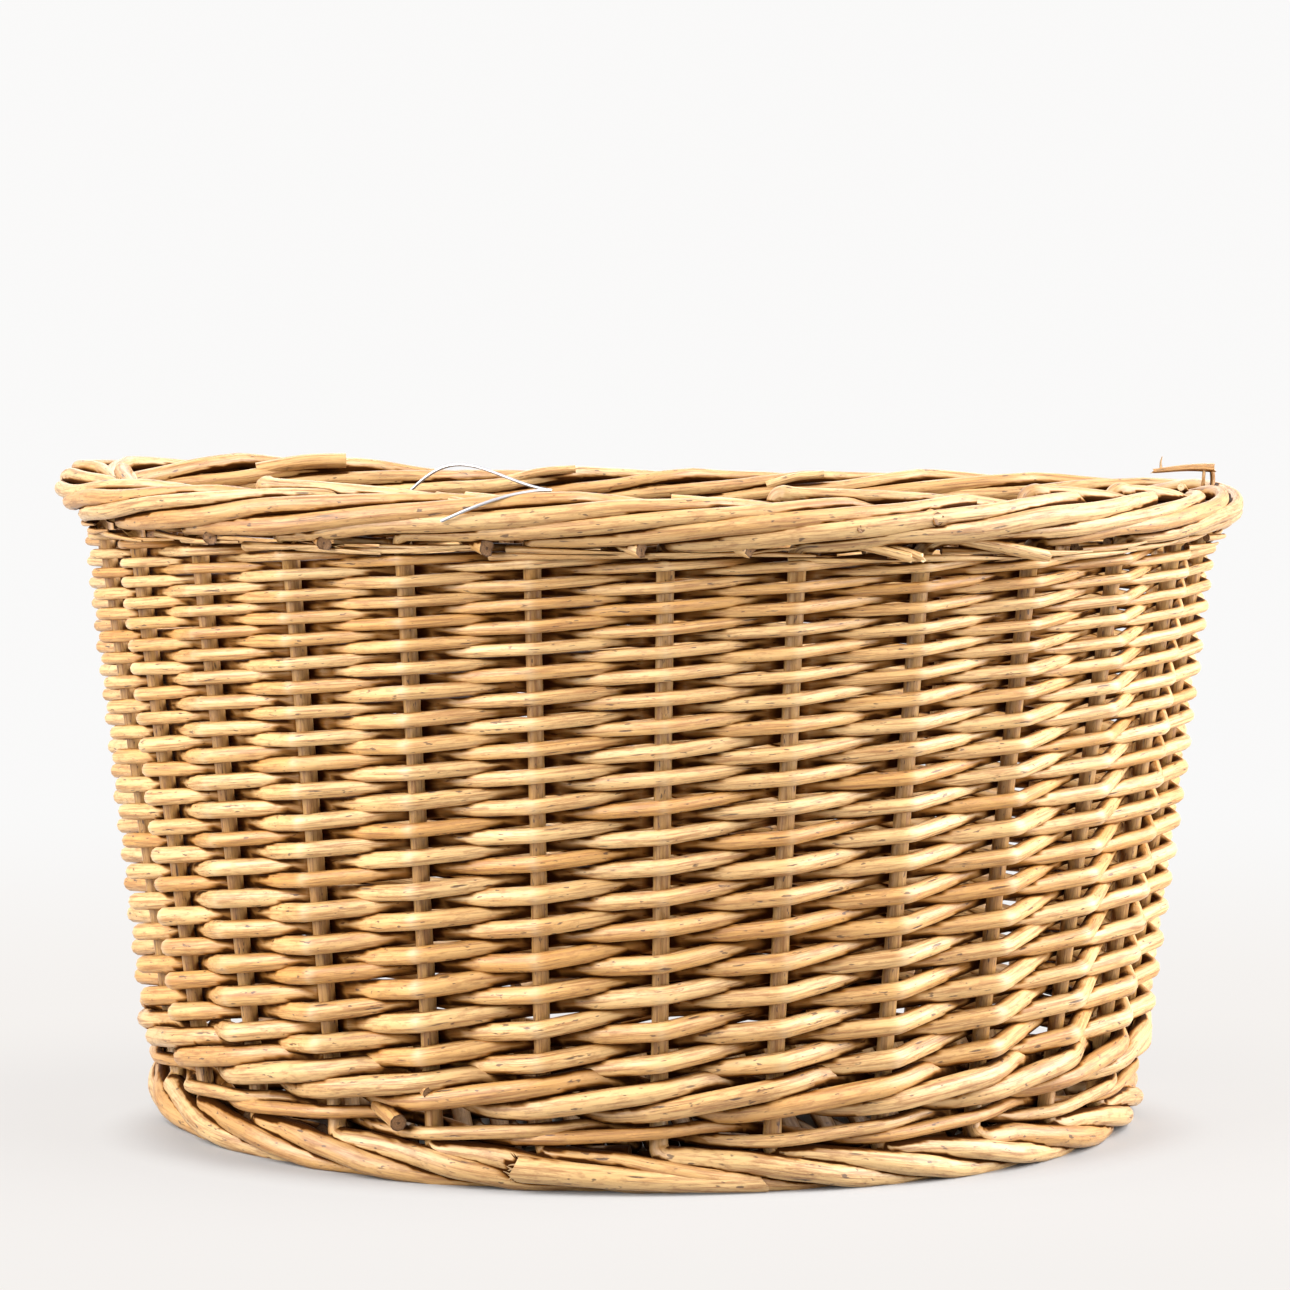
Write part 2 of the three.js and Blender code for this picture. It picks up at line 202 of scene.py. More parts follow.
FIBRE_RADII = (0.0003, 0.0006)
FIBRE_TIP_RADIUS = 0.0001
FIBRE_LOWEST = -0.006

# Cut ends of wale rods by place, height and radius
WALE_ENDS = ((9.78, 0.0205, 0.003), (10.05, 0.0315, 0.002), (3.2, 0.022, 0.0028), (20.4, 0.025, 0.0028))

# Fineness of the meshes and their maps
LOOP_POINTS = 721
LINE_POINTS = 7201
DIRECTION_STEP = 0.02
STROKE_STEPS = 12
KNUCKLE_STEPS = 7
UPRIGHT_STEPS = 14
STICK_STEPS = 40
ELBOW_STEPS = 6
EDGE_STEPS = 5
WIRE_STEPS = 28
ROD_SIDES = 10
THICK_ROD_SIDES = 14
THIN_ROD_SIDES = 8
SMOOTH_ANGLE = math.radians(55)
STRIP_SHAPE = 1.15
STRIP_MARGIN = 0.06
CAP_SHARE = 0.4
PATTERN_SHIFT = 7.3

# Grid of wood, from which it is told how sheltered a point is, and how far a point looks out; the materials
# paint shade into the wood's colour where a point is sheltered
GRID_LOW = np.array((-0.245, -0.175, -0.015))
GRID_SIZE = np.array((0.49, 0.35, 0.28))
GRID_CELL = 0.00125
LOOK_START = 0.0013
LOOK_REACHES = (0.0016, 0.0032, 0.0052, 0.008, 0.0115)
LOOK_EDGE = 0.2
FAR_LOOK_WEIGHT = 0.55

# Wood colours: pale, middling and deep, and how strongly shade is painted on lying and standing wood in
# sheltered places
STAKE_WOOD = ((0.61, 0.398, 0.172), (0.475, 0.246, 0.07), (0.25, 0.096, 0.02))
WEAVER_WOOD = ((0.71, 0.463, 0.2), (0.575, 0.296, 0.078), (0.30, 0.116, 0.023))
WALE_WOOD = ((0.65, 0.413, 0.175), (0.515, 0.263, 0.072), (0.26, 0.1, 0.021))
BASE_WOOD = ((0.44, 0.28, 0.12), (0.34, 0.18, 0.055), (0.17, 0.075, 0.02))
STAKE_CLOSENESS = 1.75
UPRIGHT_CLOSENESS = 0.36
# Darkest colour: painted shade in deep crevices, and also the colour of cracks, specks and leaf scars
CREVICE_SHADE_AND_MARK_TINT = (0.16, 0.11, 0.07)
WEATHERED_TINT = (1.12, 1.09, 0.95)
# Paler colour at the outer bends of the weavers: partly bared wood, partly a painted highlight
BARE_AND_HIGHLIGHT_TINT = (0.55, 0.5, 0.45)
BARE_AND_HIGHLIGHT_LIFT = (0.3, 0.3, 0.25)
OLD_CUT = ((0.26, 0.13, 0.05), (0.05, 0.02, 0.007))
FRESH_CUT = ((0.80, 0.60, 0.36), (0.42, 0.24, 0.10))
STEEL_COLOURS = ((0.34, 0.34, 0.36), (0.55, 0.55, 0.58))

# Patterns on a rod: scale per metre along it, scale round it, detail and roughness
BLOTCH = (24.0, 1.0, 3.0, 0.6)
GRAIN = (38.0, 2.6, 5.0, 0.72)
MOTTLE = (190.0, 1.8, 3.0, 0.6)
FIBRE = (17.0, 3.4, 1.0, 0.5)
SPECK = (240.0, 2.4, 2.0, 0.5)
DRAW_MARKS = (120.0, 12.0, 3.0, 0.6)
SCAR_STRETCH = (36.0, 1.0)
SCAR_SCALE = 0.9
CUT_MARKS = (5.0, 4.0, 0.6)
CUT_RINGS = 22.0

# From which value of a pattern to which a mark comes up, and then from what strength to what strength
WARM_RANGE = (0.35, 0.95)
GRAIN_RANGE = (0.44, 0.64, 0.0, 0.8)
MOTTLE_RANGE = (0.5, 0.7, 0.0, 0.5)
# Painted shade: from which shelter the colour darkens towards deep and then towards dark
SHELTER_DEEP_RANGE = (0.2, 0.5, 0.0, 0.8)
SHELTER_DARK_RANGE = (0.4, 0.7, 0.0, 0.97)
CRACK_RANGE = (0.016, 0.005)
CRACKED_RANGE = (0.5, 0.68)
SPECK_RANGE = (0.65, 0.72, 0.0, 0.8)
SCAR_RANGE = (0.14, 0.07)
SCARRED_RANGE = (0.4, 0.55)
ROUGHNESS_RANGE = (0.3, 0.7, 0.34, 0.6)
# Gloss and coat that fall away with shelter: shade painted onto the reflections
GLOSS_RANGE = (0.22, 0.5, 0.4, 0.02)
VARNISH_RANGE = (0.22, 0.5, 0.5, 0.0)
VARNISH_ROUGHNESS_RANGE = (0.3, 0.7, 0.36, 0.52)
RING_RANGE = (-0.4, 0.9, 0.0, 0.5)
PITH_RANGE = (0.5, 0.34, 0.0, 0.8)
CUT_EDGE_RANGE = (0.95, 1.25)
CUT_ROUGHNESS_RANGE = (0.3, 0.7, 0.6, 0.85)
STEEL_RANGE = (0.3, 0.7)
STEEL_ROUGHNESS_RANGE = (0.3, 0.7, 0.4, 0.55)

# Strength of the other marks, and heights of grain, mottle, blotches, scars and cracks in the relief
BLOTCH_WARMTH = 0.75
TONE_WARMTH = 0.5
WEATHERED_SHARE = 0.7
# Painted shade where rods pass behind a stake
TUCKED_SHADE_SHARE = 0.25
# Paler outer bends: partly bared wood, partly a painted highlight
KINK_BARE_AND_HIGHLIGHT_SHARE = 0.25
CRACK_SHARE = 0.7
SCAR_SHARE = 0.85
CUT_UNEVENNESS = 0.5
RELIEF_HEIGHTS = (0.8, 0.35, 0.5, -0.5, -0.4)
WOOD_BUMP = (0.8, 0.0007)
CUT_BUMP = (0.5, 0.0005)
STEEL_BUMP = (0.2, 0.0001)
VARNISH_IOR = 1.55

# Studio, with the softboxes' angles round and above the basket, distance, width, height and power
FLOOR_RADIUS = 8
FLOOR_SIDES = 96
FLOOR_COLOURS = ((0.39, 0.385, 0.385), (0.365, 0.36, 0.36))
FLOOR_GLOW = (0.912, 0.882, 0.856)
BACKDROP = (0.955, 0.95, 0.945)
NEAR_GLOW_RANGE = (0.97, 1.18, 0.0, 0.8)
FAR_GLOW_RANGE = (1.1, 2.6, 0.0, 0.2)
HAZE_RANGE = (1.5, 9.0)
ROOM_LIGHT = (1.0, 0.99, 0.98)
ROOM_LIGHT_STRENGTH = 0.03
SOFTBOXES = {
    "softbox_left": (-66, 28, 1.5, 1.2, 1.7, 58),
    "softbox_right": (74, 28, 1.5, 1.35, 1.7, 79),
    "softbox_top": (0, 68, 1.7, 1.2, 0.8, 3),
    "softbox_back": (180, 35, 1.7, 1.2, 0.8, 9),
}

# Camera, worked out from the stakes, the border and the foot in the photograph
CAMERA_DISTANCE = 1.489
CAMERA_HEIGHT = 0.2846
CAMERA_TURN = -0.1155
CAMERA_PAN = 0.00095
CAMERA_PITCH = 0.079
CAMERA_ROLL = 0.0115
CAMERA_LENS = 113.4

stake_radius = STAKE_DIAMETER / 2


def lengths_along(points):
    """Distance travelled at each point of a chain."""
    steps = np.linalg.norm(np.diff(points, axis=0), axis=1)
    return np.concatenate([[0], np.cumsum(steps)])


def points_along(points, lengths, places):
    """Points at distances along a chain."""
    return np.stack([np.interp(places, lengths, column) for column in points.T], axis=-1)


def unit(vectors):
    return vectors / np.linalg.norm(vectors, axis=-1, keepdims=True)


def outward(along):
    """Level direction out of the basket, from a direction along its edge."""
    return unit(np.stack([along[..., 1], -along[..., 0], np.zeros_like(along[..., 0])], axis=-1))


def roll_loop(strands, gap, flatness):
    """The loop that the strands of a rolled edge run round, seen end on."""
    length = strands * (STAKE_DIAMETER + gap)
    across = length / (2 * math.pi) * math.sqrt(2 / (1 + flatness * flatness))
    tall = across * flatness
    angles = np.linspace(0, 2 * math.pi, LOOP_POINTS)
    outline = np.stack([across * np.cos(angles), tall * np.sin(angles)], axis=1)
    travelled = lengths_along(outline)
    return {"across": across, "tall": tall, "outline": outline, "share": travelled / travelled[-1]}


border = roll_loop(BORDER_STRANDS, BORDER_STRAND_GAP, BORDER_FLATNESS)
foot = roll_loop(FOOT_STRANDS, FOOT_STRAND_GAP, FOOT_FLATNESS)
border_z = HEIGHT - border["tall"] - stake_radius
foot_z = foot["tall"] + stake_radius - FOOT_FLAT_DEPTH
border_underside = border_z - border["tall"] - stake_radius
foot_top = foot_z + foot["tall"] + stake_radius
rim_centre_y = (RIM_FRONT_DEPTH - RIM_BACK_DEPTH) / 2
base_centre_y = rim_centre_y - BASE_FORWARD_SHIFT


def plan_line(half_width, front_depth, back_depth, centre_y, z):
    """D-shaped line round the basket, from the middle of the back by the left to the front."""
    angles = math.pi / 2 + np.linspace(0, 2 * math.pi, LINE_POINTS)
    cosine = np.cos(angles)
    sine = np.sin(angles)
    is_back = sine >= 0
    power = np.where(is_back, 2 / BACK_ROUNDNESS, 2 / FRONT_ROUNDNESS)
    depth = np.where(is_back, back_depth, front_depth)
    x = half_width * np.sign(cosine) * np.abs(cosine) ** power
    y = centre_y + depth * np.sign(sine) * np.abs(sine) ** power
    points = np.stack([x, y, np.full_like(x, z)], axis=1)
    travelled = lengths_along(points)
    return {"points": points, "share": travelled / travelled[-1], "length": travelled[-1]}


rim_line = plan_line(RIM_HALF_WIDTH, RIM_FRONT_DEPTH, RIM_BACK_DEPTH, rim_centre_y, border_z)
base_line = plan_line(BASE_HALF_WIDTH, BASE_FRONT_DEPTH, BASE_BACK_DEPTH, base_centre_y, foot_z)


def point_on(line, place):
    """Point on a line, with places counted in stakes."""
    share = np.mod((np.asarray(place, float) + STAKE_SHIFT) / STAKE_COUNT, 1)
    return points_along(line["points"], line["share"], share)


def outward_on(line, place):
    """Level direction out of the basket at a place."""
    place = np.asarray(place, float)
    along = point_on(line, place + DIRECTION_STEP) - point_on(line, place - DIRECTION_STEP)
    return outward(along)


def rim_rise(place):
    """How far the rim is bent up, which it is on the left of the back."""
    from_warp = (np.mod(place, STAKE_COUNT) - RIM_WARP_PLACE) / RIM_WARP_SPREAD
    return RIM_WARP * np.exp(-from_warp ** 4)


def spot_on(line, place, out, rise):
    """Point beside a line, so far out of the basket and so far above the line."""
    point = point_on(line, place) + outward_on(line, place) * np.asarray(out, float)[..., None]
    point[..., 2] += rise
    if line is rim_line:
        point[..., 2] += rim_rise(place)
    return point


stake_feet = point_on(base_line, np.arange(STAKE_COUNT))
stake_tops = point_on(rim_line, np.arange(STAKE_COUNT))
stake_middles = stake_feet + stake_tops
chords = np.roll(stake_middles, -1, axis=0) - np.roll(stake_middles, 1, axis=0)
stake_outward = outward(chords)


def stake_at(index, z):
    """Centre of a stake at a height."""
    rise = (z - foot_z) / (border_z - foot_z)
    return stake_feet[index] + (stake_tops[index] - stake_feet[index]) * rise


def beside_stake(index, z, offset):
    return stake_at(index, z) + stake_outward[index] * offset


def pass_point(step, z, rod_radius, side):
    """Centre of a rod where it bends round a stake, side 1 outside and -1 inside."""
    index = step % STAKE_COUNT
    clear = stake_radius + rod_radius + PASS_GAP
    here = beside_stake(index, z, side * clear)
    steepest = 0.0
    for neighbour in ((step - 1) % STAKE_COUNT, (step + 1) % STAKE_COUNT):
        way = beside_stake(neighbour, z, -side * clear) - here
        way[2] = 0
        steepest = max(steepest, -side * float(unit(way) @ stake_outward[index]))
    return beside_stake(index, z, side * clear / math.sqrt(1 - steepest * steepest))


def foot_stroke(stake, steps, extra_out):
    """Points on a stake's stroke round the foot, which starts on top and goes down the outside."""
    steps = np.asarray(steps, float)
    along = np.mod(0.25 - steps / FOOT_STRANDS, 1)
    turned = points_along(foot["outline"], foot["share"], along)
    return spot_on(base_line, stake + steps, extra_out + turned[:, 0], turned[:, 1])


def border_stroke(stake, steps, swell):
    """Points on a stake's stroke round the border: up the outside, down behind, then on inside the roll."""
    steps = np.asarray(steps, float)
    front_steps = BORDER_FRONT_SHARE * BORDER_STRANDS
    turned = np.minimum(steps, BORDER_STRANDS)
    risen = np.clip(turned / front_steps, 0, 1)
    sunk = np.clip((turned - front_steps) / (BORDER_STRANDS - front_steps), 0, 1)
    even_angle = np.arccos(1 - 2 * risen) + np.arccos(1 - 2 * sunk)
    plain_share = (1 - BORDER_EVENNESS) * 2 * math.pi * turned / BORDER_STRANDS
    angle = BORDER_EVENNESS * even_angle + plain_share
    inside = np.clip((steps - BORDER_STRANDS + BORDER_TAIL_LEAD) / BORDER_TAIL_TURN, 0, 1)
    size = (1 + swell) * (1 - BORDER_TAIL_CLOSING * inside)
    out = BORDER_OVERHANG + border["across"] * size * np.sin(angle)
    return spot_on(rim_line, stake + steps, out, -border["tall"] * size * np.cos(angle))


def bezier(start, middle, end, count):
    """Points on a curved bend."""
    t = np.linspace(0, 1, count)[:, None]
    return start * (1 - t) ** 2 + 2 * middle * t * (1 - t) + end * t ** 2


def bent_path(corners, reach, bend_steps, run_steps):
    """Straight runs with short bends at the corners, and the corner count along the path."""
    corners = np.asarray(corners)
    points = [corners[0]]
    counts = [0.0]
    run_start = corners[0]
    for i in range(1, len(corners) - 1):
        before = corners[i - 1] - corners[i]
        after = corners[i + 1] - corners[i]
        share_before = min(reach / np.linalg.norm(before), LONGEST_BEND_SHARE)
        share_after = min(reach / np.linalg.norm(after), LONGEST_BEND_SHARE)
        bend_start = corners[i] + before * share_before
        bend_end = corners[i] + after * share_after
        for k in range(1, run_steps):
            t = k / run_steps
            points.append(run_start * (1 - t) + bend_start * t)
            counts.append(i - 1 + t * (1 - share_before))
        points.extend(bezier(bend_start, corners[i], bend_end, bend_steps))
        counts.extend(np.linspace(i - share_before, i + share_after, bend_steps))
        run_start = bend_end
    points.append(corners[-1])
    counts.append(len(corners) - 1.0)
    return np.array(points), np.array(counts)


def smooth_path(controls, steps):
    """A smooth curve through control points."""
    controls = np.asarray(controls, float)
    padded = np.vstack([2 * controls[0] - controls[1], controls, 2 * controls[-1] - controls[-2]])
    points = []
    for i in range(len(controls) - 1):
        before, start, end, after = padded[i:i + 4]
        for k in range(steps):
            t = k / steps
            bend = 2 * before - 5 * start + 4 * end - after + t * (3 * (start - end) + after - before)
            points.append(start + 0.5 * t * (end - before + t * bend))
    points.append(controls[-1])
    return np.array(points)


def wave(rng, count, waves):
    """A gentle uneven wave between about -1 and 1 along a rod."""
    along = np.linspace(0, 1, count)
    total = np.zeros(count)
    for k in range(4):
        turns = waves * (0.5 + 0.6 * k) * rng.uniform(0.8, 1.2)
        total += np.sin(2 * math.pi * (turns * along + rng.random())) / (1 + 0.5 * k)
    return total / 1.9


def uneven(rng, count, share, waves):
    """Factors by which a rod's thickness waves along it."""
    return 1 + share * wave(rng, count, waves)


# Marks along the rods: tone, painted shade where a rod passes behind (tucked), a paler bend that is partly
# bared wood and partly a painted highlight (kink), standing parts of stakes (upright), and painted shade in
# sheltered places (shelter)
MARKS = ("tone", "tucked", "kink", "upright", "shelter")


def make_rod(points, radii, sides, tone, marks=None, ragged=0.0, flat=1.0):
    """One rod: its centre line, its thickness and what marks its surface carries along it."""
    count = len(points)
    values = {mark: np.zeros(count) for mark in MARKS}
    values["tone"] = np.full(count, tone)
    values.update(marks or {})
    return {
        "points": np.asarray(points, float),
        "radii": np.broadcast_to(np.asarray(radii, float), (count,)).copy(),
        "sides": sides,
        "marks": values,
        "ragged": ragged,
        "flat": flat,
    }


def sweep(rod, rng):
    """Ring points of a rod kept from twisting, the way each of them faces, and the rod's direction."""
    points = rod["points"]
    steps = np.diff(points, axis=0)
    steps /= np.maximum(np.linalg.norm(steps, axis=1, keepdims=True), 1e-9)
    tangents = unit(np.vstack([steps[:1], steps[:-1] + steps[1:], steps[-1:]]))
    normal = np.array([0.0, 0.0, 1.0])
    if abs(tangents[0] @ normal) > 0.95:
        normal = np.array([1.0, 0.0, 0.0])
    angles = 2 * math.pi * np.arange(rod["sides"]) / rod["sides"]
    lumps = 1 + ROD_OVALNESS * np.sin(2 * angles + rng.uniform(0, 6))
    lumps = lumps + ROD_LUMPINESS * np.sin(3 * angles + rng.uniform(0, 6))
    rings = []
    facing = []
    for i in range(len(points)):
        normal = unit(normal - tangents[i] * (normal @ tangents[i]))
        across = np.cross(tangents[i], normal)
        circle = np.outer(np.cos(angles) * lumps * rod["flat"], normal)
        circle = circle + np.outer(np.sin(angles) * lumps, across)
        rings.append(points[i] + rod["radii"][i] * circle)
        facing.append(circle)
    for end in (0, -1):
        if rod["ragged"]:
            teeth = np.array([rng.uniform(-1, 1) for _ in angles])
            rings[end] = rings[end] + np.outer(teeth * rod["ragged"], tangents[end])
    return np.array(rings), np.array(facing), tangents


def wood_grid(rods):
    """Grid that is true in the cells filled with wood."""
    filled = np.zeros(np.ceil(GRID_SIZE / GRID_CELL).astype(int), bool)
    centres = []
    radii = []
    for rod in rods:
        lengths = lengths_along(rod["points"])
        even = np.arange(0, lengths[-1], GRID_CELL)
        centres.append(points_along(rod["points"], lengths, even))
        radii.append(np.interp(even, lengths, rod["radii"]))
    cells = (np.vstack(centres) - GRID_LOW) / GRID_CELL
    radii = np.concatenate(radii) / GRID_CELL
    nearest = np.round(cells).astype(int)
    reach = math.ceil(radii.max())
    for offset in itertools.product(range(-reach, reach + 1), repeat=3):
        spots = nearest + np.array(offset)
        spots = spots[np.linalg.norm(spots - cells, axis=1) <= radii]
        filled[tuple(spots.T)] = True
    return filled


def shelter_at(filled, points, facing):
    """How much of the view outwards from points on the rods is blocked by wood nearby, from 0 to 1."""
    facing = unit(facing)
    start = (points + facing * LOOK_START - GRID_LOW) / GRID_CELL
    limits = np.array(filled.shape) - 1
    blocked = np.zeros(len(points))
    total = np.zeros(len(points))
    for way in itertools.product((-1, 0, 1), repeat=3):
        if any(way):
            direction = np.array(way) / math.sqrt(sum(abs(part) for part in way))
            weight = np.clip(facing @ direction - LOOK_EDGE, 0, None)
            hit = np.zeros(len(points))
            for reach in LOOK_REACHES:
                spots = np.round(start + direction * reach / GRID_CELL).astype(int)
                spots = np.clip(spots, 0, limits)
                strength = 1 - (1 - FAR_LOOK_WEIGHT) * reach / LOOK_REACHES[-1]
                hit = np.maximum(hit, strength * filled[tuple(spots.T)])
            blocked += weight * hit
            total += weight
    return blocked / np.maximum(total, 1e-6)


def new_object(name, data):
    """Puts an object into the scene."""
    made = bpy.data.objects.new(name, data)
    bpy.context.scene.collection.objects.link(made)
    return made


def build_piece(name, materials, rods, filled, seed):
    """One mesh object holding rods, with maps along and round each of them."""
    rng = random.Random(seed)
    rod_lengths = [lengths_along(rod["points"]) for rod in rods]
    total = sum(lengths[-1] for lengths in rod_lengths)
    widest = 2 * math.pi * max(rod["radii"].max() for rod in rods)
    strips = max(1, round(math.sqrt(total / (STRIP_SHAPE * widest))))
    strip_length = total / strips
    longest = max(np.diff(lengths).max() for lengths in rod_lengths)
    caps = 2 * len(rods)
    map_rows = strips + 1
    vertices = []
    faces = []
    slots = []
    along_map = []
    bake_map = []
    marks = {mark: [] for mark in MARKS}
    travelled = 0.0
    caps_done = 0
    for rod, lengths in zip(rods, rod_lengths):
        rings, facing, tangents = sweep(rod, rng)
        count, sides = rings.shape[:2]
        first = len(vertices)
        ring_points = rings.reshape(-1, 3)
        vertices.extend(ring_points.tolist())
        for mark in MARKS[:-1]:
            marks[mark].extend(np.repeat(rod["marks"][mark], sides).tolist())
        # How sheltered each point is, which the materials paint as shade
        marks["shelter"].extend(shelter_at(filled, ring_points, facing.reshape(-1, 3)).tolist())
        start_along = PATTERN_SHIFT * rod["marks"]["tone"][0]
        for i in range(count - 1):
            strip = min(int((travelled + lengths[i]) / strip_length), strips - 1)
            ends = [travelled + lengths[i + j] - strip * strip_length for j in (0, 1)]
            u = [end / (strip_length + longest) for end in ends]
            s = [start_along + lengths[i + j] for j in (0, 1)]
            for k in range(sides):
                here = first + i * sides + k
                beside = first + i * sides + (k + 1) % sides
                faces.append((here, beside, beside + sides, here + sides))
                slots.append(0)
                turn = (k / sides, (k + 1) / sides)
                along_map += [s[0], turn[0], s[0], turn[1], s[1], turn[1], s[1], turn[0]]
                v = [(strip + STRIP_MARGIN + (1 - 2 * STRIP_MARGIN) * t) / map_rows for t in turn]
                bake_map += [u[0], v[0], u[0], v[1], u[1], v[1], u[1], v[0]]
        travelled += lengths[-1]
        for end in (0, 1):
            ring = first + (count - 1) * sides * end
            step = 1 if end else -1
            centre = len(vertices)
            middle = rings[-end].mean(axis=0)
            vertices.append(middle.tolist())
            for mark in MARKS[:-1]:
                marks[mark].append(float(rod["marks"][mark][-end]))
            # The same painted shade for the middle of a cut end
            shelter = shelter_at(filled, middle[None], step * tangents[-end][None])
            marks["shelter"].append(float(shelter[0]))
            cap_u = (caps_done + 0.5) / caps
            cap_v = (strips + 0.5) / map_rows
            for k in range(sides):
                following = (k + step) % sides
                faces.append((centre, ring + k, ring + following))
                slots.append(1)
                along_map += [0.0, 0.0]
                bake_map += [cap_u, cap_v]
                for corner in (k, following):
                    x = math.cos(2 * math.pi * corner / sides)
                    y = math.sin(2 * math.pi * corner / sides)
                    along_map += [x, y]
                    bake_map += [cap_u + CAP_SHARE * x / caps, cap_v + CAP_SHARE * y / map_rows]
            caps_done += 1
    vertices = np.array(vertices)
    vertices[:, 2] = np.maximum(vertices[:, 2], 0.0)
    mesh = bpy.data.meshes.new(name)
    mesh.from_pydata(vertices.tolist(), [], faces)
    for material in materials:
        mesh.materials.append(material)
    mesh.polygons.foreach_set("material_index", slots)
    mesh.uv_layers.new(name="along").uv.foreach_set("vector", along_map)
    mesh.uv_layers.new(name="OFBake").uv.foreach_set("vector", bake_map)
    for mark in MARKS:
        mesh.attributes.new(mark, "FLOAT", "POINT").data.foreach_set("value", marks[mark])
    mesh.shade_smooth()
    mesh.set_sharp_from_angle(angle=SMOOTH_ANGLE)
    return new_object(name, mesh)


class Nodes:
    """Small helper for writing the node tree of a material or a world."""

    def __init__(self, owner):
        owner.use_nodes = True
        self.owner = owner
        self.tree = owner.node_tree
        self.shader = self.find("BSDF_PRINCIPLED", "BACKGROUND")
        self.output = self.find("OUTPUT_MATERIAL", "OUTPUT_WORLD")

    def find(self, *kinds):
        return next(node for node in self.tree.nodes if node.type in kinds)

    def feed(self, socket, value):
        """Sets an input to a number, a colour or a vector, or links it to an output."""
        if isinstance(value, tuple):
            socket.default_value = (*value, 1.0) if socket.type == "RGBA" else value
        elif isinstance(value, (int, float)):
            socket.default_value = value
        else:
            self.tree.links.new(value, socket)

    def give(self, name, value):
        self.feed(self.shader.inputs[name], value)

    def add(self, kind, inputs, output=0, **settings):
        """An output of a new node, with its inputs fed by name or number."""
        node = self.tree.nodes.new("ShaderNode" + kind)
        for name, value in settings.items():
            setattr(node, name, value)
        for name, value in inputs.items():
            self.feed(node.inputs[name], value)
        return node.outputs[output]

    def math(self, operation, a, b=0.0):
        return self.add("Math", {0: a, 1: b}, operation=operation)

    def times(self, a, b):
        return self.math("MULTIPLY", a, b)

    def plus(self, a, b):
        return self.math("ADD", a, b)

    def spread(self, value, low, high, to_low=0.0, to_high=1.0):
        limits = {"From Min": low, "From Max": high, "To Min": to_low, "To Max": to_high}
        return self.add("MapRange", {"Value": value, **limits}, interpolation_type="SMOOTHSTEP")

    def mix(self, share, a, b):
        return self.add("Mix", {0: share, 6: a, 7: b}, 2, data_type="RGBA")

    def noise(self, vector, scale, detail, roughness):
        inputs = {"Vector": vector, "Scale": scale, "Detail": detail, "Roughness": roughness}
        return self.add("TexNoise", inputs, "Fac")

    def combine(self, x, y, z):
        return self.add("CombineXYZ", {0: x, 1: y, 2: z})

    def attribute(self, name):
        return self.add("Attribute", {}, "Fac", attribute_name=name)

    def bump(self, height, strength, distance):
        return self.add("Bump", {"Height": height, "Strength": strength, "Distance": distance})

    def along_map(self):
        """The two parts of the map along and round a rod."""
        uv = self.add("UVMap", {}, uv_map="along")
        return [self.add("SeparateXYZ", {0: uv}, part) for part in (0, 1)]

    def seen(self):
        """1 for rays that show something to the camera, 0 for rays that bring light."""
        kinds = ("Is Camera Ray", "Is Transmission Ray", "Is Glossy Ray")
        camera, transmission, glossy = [self.add("LightPath", {}, kind) for kind in kinds]
        return self.math("MAXIMUM", self.math("MAXIMUM", camera, transmission), glossy)

    def show(self, share, shader):
        """Mixes another shader in front of the plain one."""
        mixed = self.add("MixShader", {0: share, 1: self.shader.outputs[0], 2: shader})
        self.feed(self.output.inputs["Surface"], mixed)


class RodCoordinates:
    """Places on a rod's surface that meet without a seam on its far side."""

    def __init__(self, nodes):
        self.nodes = nodes
        self.along, turn = nodes.along_map()
        angle = nodes.times(turn, 2 * math.pi)
        self.cosine = nodes.math("COSINE", angle)
        self.sine = nodes.math("SINE", angle)

    def stretched(self, per_metre, round_scale):
        return self.nodes.combine(
            self.nodes.times(self.along, per_metre),
            self.nodes.times(self.cosine, round_scale),
            self.nodes.times(self.sine, round_scale),
        )

    def pattern(self, per_metre, round_scale, detail, roughness):
        return self.nodes.noise(self.stretched(per_metre, round_scale), 1.0, detail, roughness)


def tinted(colour, tint, lift=(0.0, 0.0, 0.0)):
    """A colour with its red, green and blue scaled and then lifted."""
    return tuple(extra + share * part for part, share, extra in zip(colour, tint, lift))


